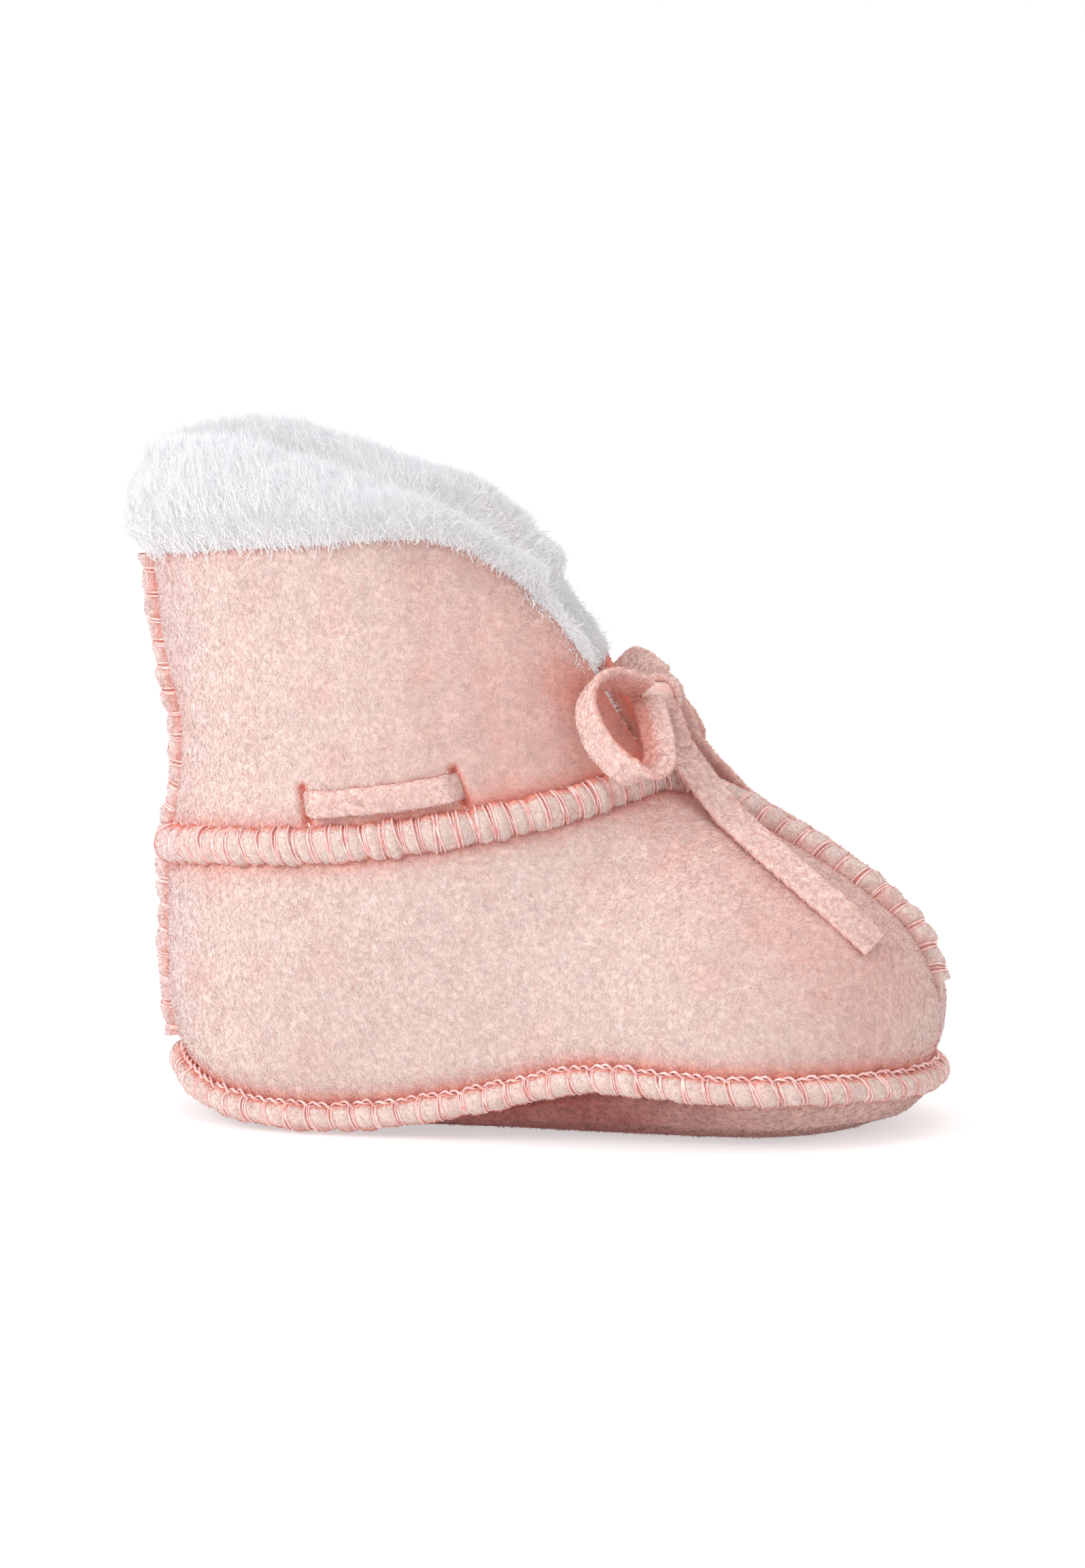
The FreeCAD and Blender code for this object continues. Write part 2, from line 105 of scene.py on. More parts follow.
STRANDS = 3
STRAND_RADIUS = 0.14
CHAIN_RADIUS = 0.2
CHAIN_SWING = 0.3

PANEL_NAP, LACE_NAP, SOLE_NAP = 12, 13, 7
NAP_WIDTH = 0.085
RIBBON_STEPS = 2
FIBRES_A_CLUMP = 17
CLUMP_SPREAD = 0.9
WOOL_WIDTH = 0.11
FIBRES_A_PIECE = 40000

# Loose wool: name, clumps, ranges of u, s and face, lean outwards, length.
WOOL_ZONES = (("outer", 6200, (0, 1), (1.03, 1.9), (-0.1, 0.05), 0.3, 4.8),
              ("rim", 3200, (0, 1), (1.8, 2.0), (0.0, 0.9), 0.1, 5.4),
              ("inner", 5200, (0, 1), (0.05, 1.95), (0.95, 1.0), -0.55, 4.2),
              ("throat", 900, (0.93, 1.0), (0.03, 0.5), (0.2, 1.0), 0.0, 4.2),
              ("edge", 3000, (0.95, 1.0), (0.46, 1.3), (-0.1, 0.05), 0.3, 3.4),
              ("front", 4200, (0.965, 1.0), (0.46, 1.9), (0.0, 1.0), 0.15, 3.0))


def linear(value):
    """A screen value from 0 to 255 as linear light."""
    value = value / 255
    return value / 12.92 if value <= 0.04045 else ((value + 0.055) / 1.055) ** 2.4


def srgb(red, green, blue):
    """A linear colour from 0 to 255 screen values."""
    return linear(red), linear(green), linear(blue), 1.0


def grey(level):
    """A linear grey."""
    return level, level, level, 1


# ---- camera, floor and light

def add_camera():
    """A long lens at the height of the toe, a little above and in front of the near side."""
    azimuth, elevation, distance = math.radians(9), math.radians(8), 1.2
    target = Vector((0, 0, 0.0473))
    level = math.cos(elevation)
    away = Vector((math.sin(azimuth) * level, -math.cos(azimuth) * level, math.sin(elevation)))
    data = bpy.data.cameras.new("camera")
    data.lens = 195.0
    data.sensor_width = 36.0
    camera = bpy.data.objects.new("camera", data)
    camera.location = target + away * distance
    camera.rotation_euler = (-away).to_track_quat("-Z", "Y").to_euler()
    bpy.context.scene.collection.objects.link(camera)
    bpy.context.scene.camera = camera


def add_area_light(name, place, size, power):
    """A soft square light aimed at the middle of the bootie."""
    data = bpy.data.lights.new(name, "AREA")
    data.size = size
    data.energy = power
    light = bpy.data.objects.new(name, data)
    light.location = place
    light.rotation_euler = (Vector((0, 0, 0.04)) - Vector(place)).to_track_quat("-Z", "Y").to_euler()
    bpy.context.scene.collection.objects.link(light)


def add_world():
    """An even white sky, with colours shown as they are."""
    world = bpy.data.worlds.new("studio")
    world.use_nodes = True
    background = world.node_tree.nodes["Background"]
    background.inputs["Color"].default_value = (1, 1, 1, 1)
    background.inputs["Strength"].default_value = 1.0
    bpy.context.scene.world = world
    bpy.context.scene.view_settings.view_transform = "Standard"


# ---- materials

def new_material(name):
    """A material, its node tree and its shader."""
    material = bpy.data.materials.new(name)
    material.use_nodes = True
    tree = material.node_tree
    return material, tree, tree.nodes["Principled BSDF"]


def set_inputs(node, values):
    """Set inputs of a node by name."""
    for name, value in values.items():
        node.inputs[name].default_value = value


def finish(tree, shader, colour, bump, values):
    """Give a shader its colour, its bumped surface direction and its other inputs."""
    tree.links.new(colour, shader.inputs["Base Color"])
    tree.links.new(bump, shader.inputs["Normal"])
    set_inputs(shader, values)


def noise(tree, scale, detail=3.0, distortion=0.0):
    """A noise texture in the object's own coordinates; scale is features per metre."""
    where = tree.nodes.new("ShaderNodeTexCoord")
    node = tree.nodes.new("ShaderNodeTexNoise")
    set_inputs(node, {"Scale": scale, "Detail": detail, "Distortion": distortion})
    tree.links.new(where.outputs["Object"], node.inputs["Vector"])
    return node.outputs["Fac"]


def ramp_node(tree, value, stops):
    """value turned into colours at the given stops."""
    node = tree.nodes.new("ShaderNodeValToRGB")
    node.color_ramp.elements[0].position, node.color_ramp.elements[0].color = stops[0]
    node.color_ramp.elements[1].position, node.color_ramp.elements[1].color = stops[-1]
    for position, colour in stops[1:-1]:
        node.color_ramp.elements.new(position).color = colour
    tree.links.new(value, node.inputs["Fac"])
    return node.outputs["Color"]


def mix_node(tree, factor, first, second):
    """first blended towards second by a factor socket."""
    node = tree.nodes.new("ShaderNodeMix")
    node.data_type = "RGBA"
    tree.links.new(factor, node.inputs["Factor"])
    for name, value in (("A", first), ("B", second)):
        colour_input = [s for s in node.inputs if s.name == name and s.type == "RGBA"][0]
        if isinstance(value, tuple):
            colour_input.default_value = value
        else:
            tree.links.new(value, colour_input)
    return [s for s in node.outputs if s.type == "RGBA"][0]


def attribute(tree, name):
    """The value of a mesh attribute."""
    node = tree.nodes.new("ShaderNodeAttribute")
    node.attribute_name = name
    return node.outputs["Fac"]


def occlusion_shade(tree):
    """Painted shade: how much a place is hidden by suede close above it, from 0 to 0.8, found by an ambient
    occlusion node.
    """
    node = tree.nodes.new("ShaderNodeAmbientOcclusion")
    node.samples = 6
    node.inputs["Distance"].default_value = 0.004
    return ramp_node(tree, node.outputs["AO"], [(0.05, grey(0.8)), (0.42, grey(0))])


def bump_node(tree, height, strength, distance, below=None):
    """A surface direction bumped by a height, on top of the bump below it."""
    node = tree.nodes.new("ShaderNodeBump")
    set_inputs(node, {"Strength": strength, "Distance": distance})
    tree.links.new(height, node.inputs["Height"])
    if below is not None:
        tree.links.new(below, node.inputs["Normal"])
    return node.outputs["Normal"]


def suede_material(name, light, dark, shade_and_mottle):
    """Brushed suede: mottled nap, painted shade in a deeper coral in the creases, and a painted cool shade
    at the back.
    """
    material, tree, shader = new_material(name)
    mottled = ramp_node(tree, noise(tree, 1800, 5, 1.6), [(0.34, dark), (0.6, light)])
    cloudy = ramp_node(tree, noise(tree, 90, 3), [(0.35, grey(0)), (0.7, grey(0.35))])
    broad = mix_node(tree, cloudy, mottled, light)
    # Painted cool shade, lilac grey, where the suede turns towards the back seam.
    turn_shaded = mix_node(tree, attribute(tree, "turn_shade"), broad, srgb(208, 186, 194))
    # Painted shade from the mesh attribute, with its random mottle, in the shade colour.
    shaded = mix_node(tree, attribute(tree, "shade_and_mottle"), turn_shaded, shade_and_mottle)
    # Painted shade from the occlusion node, in the shade colour, where suede lies close above.
    colour = mix_node(tree, occlusion_shade(tree), shaded, shade_and_mottle)
    coarse = bump_node(tree, noise(tree, 260, 3, 0.5), 0.25, 0.0005)
    fine = bump_node(tree, noise(tree, 1300, 6, 2.6), 0.9, 0.00035, coarse)
    finish(tree, shader, colour, fine, {
        "Roughness": 0.95, "Specular IOR Level": 0.15, "Sheen Weight": 0.25, "Sheen Roughness": 0.45,
        "Sheen Tint": srgb(255, 225, 218), "Subsurface Weight": 0.3, "Subsurface Scale": 0.0015,
        "Subsurface Radius": (1.0, 0.35, 0.25)})
    return material


def thread_material():
    """Glossy twisted embroidery thread, with painted glints in its colour."""
    material, tree, shader = new_material("thread")
    # The colour is partly the thread's own pink and partly painted glints: the noise brings in near-white
    # streaks.
    stops = [(0.3, srgb(226, 160, 154)), (0.7, srgb(248, 214, 209))]
    colour = ramp_node(tree, noise(tree, 700, 3, 0.5), stops)
    finish(tree, shader, colour, bump_node(tree, noise(tree, 5000, 2), 0.35, 0.0001),
           {"Roughness": 0.32, "Specular IOR Level": 0.7, "Sheen Weight": 0.3})
    return material


def fur_material(name, light, dark):
    """White wool with a painted glow, its emission standing in for light scattered through its fibres, and
    painted shade, a pinker grey, in its depths.
    """
    material, tree, shader = new_material(name)
    deep = ramp_node(tree, noise(tree, 420, 4, 0.8), [(0.3, dark), (0.65, light)])
    # Painted shade towards the roots of the fibres, from their attribute.
    colour = mix_node(tree, attribute(tree, "shade_and_mottle"), deep, srgb(212, 180, 175))
    # Painted glow: the emission stands in for light scattered through the wool and lifts its shade.
    finish(tree, shader, colour, bump_node(tree, noise(tree, 900, 5, 1.5), 0.6, 0.0006),
           {"Roughness": 0.85, "Emission Color": grey(1), "Emission Strength": 0.19,
            "Specular IOR Level": 0.2, "Sheen Weight": 0.4, "Sheen Roughness": 0.5})
    return material


def floor_material():
    """A pale floor that glows a little, so that it stays nearly white."""
    material, tree, shader = new_material("floor")
    colour = ramp_node(tree, noise(tree, 3, 2), [(0.0, grey(0.49)), (1.0, grey(0.51))])
    tree.links.new(colour, shader.inputs["Base Color"])
    set_inputs(shader, {"Roughness": 0.9, "Emission Color": grey(1), "Emission Strength": 0.52})
    return material


# ---- lines and patches

def unit(vectors):
    """Vectors scaled to length 1."""
    return vectors / np.maximum(np.linalg.norm(vectors, axis=-1, keepdims=True), 1e-9)


def smooth(points):
    """Samples of the natural cubic spline through points."""
    points = np.array(points, float)
    spans = np.linalg.norm(np.diff(points, axis=0), axis=1)
    count = len(points)
    rows = np.eye(count)
    right = np.zeros((count, 3))
    for i in range(1, count - 1):
        rows[i, i - 1:i + 2] = spans[i - 1], 2 * (spans[i - 1] + spans[i]), spans[i]
        ahead, behind = points[i + 1] - points[i], points[i] - points[i - 1]
        right[i] = 6 * (ahead / spans[i] - behind / spans[i - 1])
    bend = np.linalg.solve(rows, right)
    after = np.linspace(0, 1, SAMPLES_A_SPAN, endpoint=False)[:, None]
    before = 1 - after
    samples = []
    for i in range(count - 1):
        curved = (before ** 3 - before) * bend[i] + (after ** 3 - after) * bend[i + 1]
        samples.append(before * points[i] + after * points[i + 1] + curved * spans[i] ** 2 / 6)
    return np.concatenate(samples + [points[-1:]])


class Line:
    """A smooth line through points (x, distance from the middle, z) of the right half.

    crosses names the ends at which the line runs squarely through the middle plane.
    """

    def __init__(self, points, crosses=()):
        ends = [np.array([x, -y, z], float) for x, y, z in points]
        other = np.array([1, -1, 1])
        path = list(ends)
        if "start" in crosses:
            path.insert(0, ends[1] * other)
        if "end" in crosses:
            path.append(ends[-2] * other)
        dense = smooth(path)
        first = SAMPLES_A_SPAN * ("start" in crosses)
        last = len(dense) - SAMPLES_A_SPAN * ("end" in crosses)
        self.samples = dense[first:last]
        steps = np.linalg.norm(np.diff(self.samples, axis=0), axis=1)
        self.run = np.concatenate(([0], np.cumsum(steps)))
        self.length = self.run[-1]

    def at(self, share):
        """Points at shares of the length."""
        place = np.clip(share, 0, 1) * self.length
        return np.stack([np.interp(place, self.run, self.samples[:, i]) for i in range(3)], axis=-1)

    def along(self, share):
        """Unit directions at shares of the length."""
        share = np.clip(share, 0.002, 0.998)
        return unit(self.at(share + 0.002) - self.at(share - 0.002))

    def share_of(self, point):
        """The share of the length nearest to a point."""
        return self.run[np.argmin(np.linalg.norm(self.samples - point, axis=1))] / self.length


class Patch:
    """A curved four-sided surface between four lines, bulged outward by a share of its height."""

    def __init__(self, low, high, back, front, bulge, low_end=1.0):
        self.low, self.high, self.back, self.front = low, high, back, front
        self.bulge, self.low_end = bulge, low_end

    def flat(self, u, s):
        """Points of the surface before its bulge."""
        low = self.low.at(u * self.low_end)
        high = self.high.at(u)
        across, rise = u[..., None], s[..., None]
        start, end = self.back.at(np.array([0, 1])), self.front.at(np.array([0, 1]))
        back = self.back.at(s) - start[0] * (1 - rise) - start[1] * rise
        front = self.front.at(s) - end[0] * (1 - rise) - end[1] * rise
        return low * (1 - rise) + high * rise + back * (1 - across) ** 2 + front * across ** 2

    def inside(self, u, s):
        """Points of the surface, for u and s from 0 to 1."""
        centre = np.clip(u, 0.01, 0.99)
        along = self.flat(centre + 0.01, s) - self.flat(centre - 0.01, s)
        rise = self.flat(u, np.ones_like(s)) - self.flat(u, np.zeros_like(s))
        height = np.linalg.norm(rise, axis=-1, keepdims=True)
        swell = (self.bulge(u) * np.sin(math.pi * s))[..., None]
        return self.flat(u, s) + unit(np.cross(along, rise)) * swell * height

    def point(self, u, s):
        """Points of the surface; past its edges it goes on straight."""
        step = 0.02
        u_in, s_in = np.clip(u, 0, 1), np.clip(s, 0, 1)
        point = self.inside(u_in, s_in)
        forward = point - self.inside(np.clip(u_in - step, 0, 1), s_in)
        point = point + forward * (np.maximum(u - 1, 0) / step)[..., None]
        upward = self.inside(u_in, s_in) - self.inside(u_in, np.clip(s_in - step, 0, 1))
        return point + upward * (np.maximum(s - 1, 0) / step)[..., None]

    def normal(self, u, s):
        """Outward unit directions of the surface."""
        u, s = np.clip(u, 0.02, 0.98), np.clip(s, 0.03, 0.97)
        along = self.inside(u + 0.01, s) - self.inside(u - 0.01, s)
        rise = self.inside(u, s + 0.01) - self.inside(u, s - 0.01)
        return unit(np.cross(along, rise))

    def height(self, u):
        """Distances from the low line to the high line."""
        one = np.ones_like(u)
        return np.linalg.norm(self.inside(u, one) - self.inside(u, one * 0), axis=-1)


def lower_bulge(u):
    """Nearly flat at the heel, a quarter circle over the toes."""
    vamp = 1 / (1 + np.exp(-(u - 0.6) / 0.05))
    ends = np.minimum(1, u / 0.12) * np.minimum(1, (1 - u) / 0.12)
    return (0.05 + 0.15 * vamp) * np.sin(ends * math.pi / 2)


def ramp(value, start, end):
    """0 below start, 1 above end, smooth between."""
    share = np.clip((value - start) / (end - start), 0, 1)
    return share * share * (3 - 2 * share)


def lumps(points, size, seed):
    """Smooth random heights between about -1 and 1, with lumps of about the given size."""
    picker = np.random.default_rng(seed)
    total = np.zeros(points.shape[:-1])
    for _ in range(9):
        wave = unit(picker.normal(size=3)) * 2 * math.pi / (size * picker.uniform(0.8, 1.8))
        total += np.sin(points @ wave + picker.uniform(0, 2 * math.pi))
    return total / 4.5


sole_line = Line(SOLE_SEAM, crosses=("start", "end"))
top_line = Line(ANKLE_SEAM + CENTRE_SEAM, crosses=("start",))
collar_line = Line(COLLAR_EDGE, crosses=("start",))
back_low = Line(BACK_SEAM_LOW)
back_high = Line(BACK_SEAM_HIGH)
front_line = Line(FRONT_EDGE)
toe_line = Line(TOE_LINE)
THROAT_SHARE = top_line.share_of(np.array(ANKLE_SEAM[-1]) * np.array([1, -1, 1]))

lower = Patch(sole_line, top_line, back_low, toe_line, lower_bulge)
shaft = Patch(top_line, collar_line, back_high, front_line, lambda u: 0 * u, THROAT_SHARE)


# ---- meshes

def grid_faces(rows, columns, wrap=False):
    """Quads of a grid of rows x columns vertices; wrap closes each row into a ring."""
    index = np.arange(rows * columns).reshape(rows, columns)
    if wrap:
        index = np.concatenate([index, index[:, :1]], axis=1)
    corners = (index[:-1, :-1], index[1:, :-1], index[1:, 1:], index[:-1, 1:])
    return np.stack(corners, axis=-1).reshape(-1, 4)


def repeated(faces, count, each):
    """The faces of count meshes of the same kind, each with so many vertices."""
    return (faces[None] + (np.arange(count) * each)[:, None, None]).reshape(-1, 4)


def keep_right(points, limit):
    """Hold points on the right of a plane beside the middle."""
    points[..., 1] = np.minimum(points[..., 1], limit)


def signed_volume(points, faces):
    """Positive where the faces of a closed mesh look outward."""
    first, second, third, fourth = (points[faces[:, i]] for i in range(4))
    halves = np.cross(second, third) + np.cross(third, fourth)
    return np.sum(first * halves) / 6


def add_piece(name, points, faces, material, body, side=1, replaces=(), tint=None):
    """A shown mesh of quads that rides on a body; side -1 mirrors it from the right to the left."""
    points = np.array(points, float).reshape(-1, 3) * np.array([1, side, 1]) * MM
    faces = np.array(faces)
    if signed_volume(points, faces) < 0:
        faces = faces[:, ::-1]
    mesh = bpy.data.meshes.new(name)
    mesh.vertices.add(len(points))
    mesh.vertices.foreach_set("co", points.astype(np.float32).ravel())
    mesh.loops.add(faces.size)
    mesh.loops.foreach_set("vertex_index", faces.astype(np.int32).ravel())
    mesh.polygons.add(len(faces))
    mesh.polygons.foreach_set("loop_start", np.arange(0, faces.size, 4, dtype=np.int32))
    mesh.update(calc_edges=True)
    mesh.shade_smooth()
    for key, values in (tint or {}).items():
        layer = mesh.attributes.new(key, "FLOAT", "POINT")
        layer.data.foreach_set("value", np.array(values, np.float32).ravel())
    piece = bpy.data.objects.new(name, mesh)
    bpy.context.scene.collection.objects.link(piece)
    mesh.materials.append(material)
    if body:
        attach(piece, body)
    if replaces:
        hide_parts(*replaces)
    return piece


def sheet_solid(outer, inner):
    """Vertices and faces of a closed sheet between two grids of points of the same size."""
    rows, columns = outer.shape[:2]
    points = np.concatenate([outer.reshape(-1, 3), inner.reshape(-1, 3)])
    front = grid_faces(rows, columns)
    offset = rows * columns
    index = np.arange(offset).reshape(rows, columns)
    rim = np.concatenate([index[:, 0], index[-1, 1:], index[-2::-1, -1], index[0, -2::-1]])
    walls = np.stack([rim[:-1], rim[:-1] + offset, rim[1:] + offset, rim[1:]], axis=-1)
    return points, np.concatenate([front, front[:, ::-1] + offset, walls])


def tubes(paths, radius, reference, sides, twist, lobes):
    """Many tubes at once. paths is (tube, point, 3); reference is a direction across each path.

    twist turns a section of two lobes along the tube, in radians a millimetre.
    """
    count, steps = paths.shape[:2]
    tangent = unit(np.gradient(paths, axis=1))
    first = unit(np.cross(tangent, np.broadcast_to(reference, paths.shape)))
    second = np.cross(tangent, first)
    step_length = np.linalg.norm(np.diff(paths, axis=1), axis=-1)
    run = np.concatenate([np.zeros((count, 1)), np.cumsum(step_length, axis=1)], axis=1)
    angle = np.arange(sides) * 2 * math.pi / sides
    size = radius * (1 + lobes * np.cos(2 * (angle - run[..., None] * twist)))
    ring = paths[:, :, None] + size[..., None] * (
        np.cos(angle)[:, None] * first[:, :, None] + np.sin(angle)[:, None] * second[:, :, None])
    return ring.reshape(-1, 3), repeated(grid_faces(steps, sides, wrap=True), count, steps * sides)


def ribbons(roots, tips, bend, width, facing):
    """Tapered ribbons from roots to tips, bowed by bend, with their flat sides turned to facing."""
    share = np.linspace(0, 1, RIBBON_STEPS + 1)[None, :, None]
    line = roots[:, None] + (tips - roots)[:, None] * share + bend[:, None] * (share * (1 - share) * 4)
    flat = unit(np.cross(facing, tips - roots))
    half = width / 2 * (1 - share) ** 0.6 + 0.008
    both = np.stack([line - flat[:, None] * half, line + flat[:, None] * half], axis=2)
    faces = repeated(grid_faces(RIBBON_STEPS + 1, 2), len(roots), (RIBBON_STEPS + 1) * 2)
    depth = np.broadcast_to((1 - share) ** 2, both.shape[:2] + (1,))
    return both.reshape(-1, 3), faces, np.repeat(depth.reshape(-1), 2)


# ---- seams

class Seam:
    """Two rolled suede edges whipped together along a line, pinched at every stitch.

    The last argument is how deep the painted shade is along the two sides of the roll.
    """

    def __init__(self, line, start, end, pitch, frame_of, half, height, shift=0.0, slant=0.7, sink=0.0,
                 side_shade=1.0):
        self.line, self.start, self.end, self.side_shade = line, start, end, side_shade
        self.frame_of, self.half, self.height = frame_of, half, height
        self.shift, self.slant, self.sink = shift, slant, sink
        self.total = line.length * (end - start)
        self.count = round(self.total / pitch)
        self.pitch = self.total / self.count

    def stitch_gap(self, run, angle):
        """The count of stitches up to a place, and its distance from the nearest one."""
        phase = (run + self.slant * np.cos(angle)) / self.pitch
        return phase, np.abs(phase - np.floor(phase) - 0.5) * self.pitch

    def surface(self, run, angle, grow=0.0):
        """Points at a distance along the seam and an angle around its roll, 0 on the upper side."""
        share = self.start + run / self.line.length
        centre = self.line.at(share)
        along = self.line.along(share)
        outward, across = self.frame_of(along)
        phase, gap = self.stitch_gap(run, angle)
        pinch = np.exp(-(gap / 0.5) ** 2)
        wobble = 0.06 * np.sin(phase * 2.1) + 0.05 * np.sin(phase * 5.3 + 1)
        size = (1 + wobble - 0.13 * pinch + 0.03 * np.sin(gap / self.pitch * math.pi))[..., None]
        side = np.cos(angle)[..., None] * (self.half + grow) * size + self.shift
        front = np.sin(angle)[..., None] * (self.height * size + grow) - self.sink
        points = centre + across * side + outward * front
        points[..., 2] = np.maximum(points[..., 2], 0.25)
        return points

    def roll(self):
        """Vertices, faces and painted shade, with random mottle, of the roll."""
        run = np.linspace(0, self.total, int(self.total / 0.24))
        angle = np.linspace(0, 2 * math.pi, 26, endpoint=False)
        run, angle = np.meshgrid(run, angle, indexing="ij")
        points = self.surface(run, angle)
        _, gap = self.stitch_gap(run, angle)
        # Painted shade in each stitch's pinch and along both sides of the roll, with random mottle.
        shade_and_mottle = 0.6 * np.exp(-(gap / 0.4) ** 2) + self.side_shade * ramp(np.abs(np.cos(angle)), 0.78, 0.98)
        shade_and_mottle = np.clip(shade_and_mottle + 0.12 * lumps(points, 3.0, 17), 0, 1)
        return points, grid_faces(*run.shape, wrap=True), shade_and_mottle

    def stitches(self):
        """The whipped thread: strands side by side in every pinch."""
        angle = np.linspace(-0.35, math.pi + 0.35, 22)
        picker = np.random.default_rng(self.count)
        paths = []
        for i in range(self.count):
            for strand in range(STRANDS):
                beside = (strand - (STRANDS - 1) / 2) * STRAND_RADIUS * 2.1 + picker.normal(0, 0.12)
                slant = self.slant + picker.normal(0, 0.22)
                run = (i + 0.5) * self.pitch - slant * np.cos(angle) + beside
                paths.append(self.surface(np.clip(run, 0, self.total), angle, 0.08))
        along = self.line.along(np.array([(self.start + self.end) / 2]))[0]
        return tubes(np.array(paths), STRAND_RADIUS, along, sides=8, twist=4.2, lobes=0.22)

    def chain(self, angle):
        """The twisted thread that links the stitches along one side of the roll."""
        run = np.linspace(0, self.total, int(self.total / 0.3))
        outward, across = self.frame_of(self.line.along(self.start + run / self.line.length))
        base = self.surface(run, np.full_like(run, angle), CHAIN_RADIUS)
        paths = []
        for turn in (0, math.pi):
            swing = 2 * math.pi * run / self.pitch + turn
            sideways, forwards = CHAIN_SWING * np.cos(swing), CHAIN_SWING * np.sin(swing)
            paths.append(base + across * sideways[:, None] + outward * forwards[:, None])
        return tubes(np.array(paths), CHAIN_RADIUS, UP + 0.01, sides=7, twist=4.0, lobes=0.2)


def level_frame(along):
    """A seam around the foot: it is crossed up and down."""
    outward = unit(np.cross(along, UP))
    return outward, np.broadcast_to(UP, outward.shape)


def middle_frame(along):
    """A seam in the middle plane: it is crossed from side to side."""
    return unit(np.cross(along, SIDEWAYS)), np.broadcast_to(-SIDEWAYS, along.shape)


# ---- suede

def seam_pucker(distance, run, pitch, depth):
    """Small folds that run from the stitches into the panel and die out."""
    return depth * np.exp(-distance / 2.2) * np.cos(2 * math.pi * run / pitch)


def lower_swell(u, s, side):
    """Height of the foot's suede over its patch: soft dents, and a fall towards the seams."""
    rise = lower.height(u)
    below, above = rise * s, rise * (1 - s)
    base = lower.point(u, s)
    dents = 0.35 * lumps(base, 16, 3 + side) + 0.12 * lumps(base, 5, 9 + side)
    swell = 0.7 * ramp(below, 0.5, 4.5) * ramp(above, 0.5, 4.5) - 0.5
    return dents * ramp(below, 1, 8) * ramp(above, 1, 8) + swell


def shaft_swell(u, s, side):
    """Height of the shaft's suede over its patch, rolled in at its free edges and sunk in at its slits."""
    base = shaft.point(u, s)
    above_ankle = shaft.height(u) * s
    edge = np.minimum(shaft.height(u) * (1 - s), 75 * (1 - u))
    dents = 0.45 * lumps(base, 18, 31 + side) + 0.14 * lumps(base, 6, 39 + side)
    swell = 0.5 * ramp(above_ankle, 0.5, 4.5) - 0.3 - 0.35 * np.exp(-edge / 0.5)
    return dents * ramp(above_ankle, 1, 9) + swell - 1.1 * slit_depth(u, s)


def tail_route(count):
    """Points on the foot's suede under the loose tail of the lace, with its shares u and s."""
    share = np.linspace(0, 1, count)
    u, s = (start + (end - start) * share for start, end in zip(TAIL_START, TAIL_END))
    return lower.point(u, s), u, s


def tail_shadow(points):
    """Painted shadow of the tail: 1 along its lower edge, fading away over the side of the foot."""
    edge = tail_route(24)[0] + np.array([-1.0, -0.6, -1.8])
    gap = np.full(points.shape[:-1], 99.0)
    for place in edge:
        gap = np.minimum(gap, np.linalg.norm(points - place, axis=-1))
    return np.exp(-(gap / 12) ** 2)


def panel_walls(base, normal, height):
    """The two walls of a panel: the outer one stands height above the patch, the inner one below it."""
    outer, inner = base + normal * height[..., None], base - normal * SUEDE
    keep_right(outer, SUEDE_INSIDE)
    keep_right(inner, SUEDE_INSIDE)
    return outer, inner


def add_panel(key, name, side, body, nodes, walls, shade_and_mottle, suede, nap, seed):
    """A panel of suede between its walls, and its nap, as a list of pieces."""
    points, faces = sheet_solid(*walls)
    tint = {"shade_and_mottle": np.tile(shade_and_mottle.ravel(), 2), "turn_shade": turn_shade_of(points)}
    panel = add_piece(f"{key}_suede_{name}", points, faces, suede, body, side, nodes, tint)
    return [panel] + add_nap(f"{key}_nap_{name}", walls[0], shade_and_mottle, PANEL_NAP, nap, body, side, seed)


def add_lower_panels(suede, nap):
    """The suede of the foot, from the sole seam up to the ankle and centre seams."""
    u, s = np.meshgrid(np.linspace(0, 1, 330), np.linspace(0.004, 0.996, 116), indexing="ij")
    rise = lower.height(u)
    run = lower.low.length * u
    below, above = rise * s, rise * (1 - s)
    base = lower.point(u, s)
    for name, side in SIDES:
        pucker = seam_pucker(below, run, 3.2, 0.16) + seam_pucker(above, run, 2.7, 0.12)
        walls = panel_walls(base, lower.normal(u, s), lower_swell(u, s, side) + pucker)
        # Painted shade: deeper coral along the sole and ankle seams, following the puckers, a little
        # towards the toe and in the tail's painted shadow, with random mottle.
        shade_and_mottle = 0.9 * np.exp(-(below / 1.8) ** 2) + 0.95 * np.exp(-(above / 3.2) ** 2) - 0.5 * pucker
        shade_and_mottle += 0.10 * ramp(-lumps(base, 7, 21 + side), 0.1, 1.0)
        shade_and_mottle += 0.04 * ramp(base[..., 0], 5, 52) + 0.22 * tail_shadow(base)
        add_panel("lower", name, side, "boot", ["lower_panel_" + name], walls, np.clip(shade_and_mottle, 0, 1),
                  suede, nap, 301 + side)


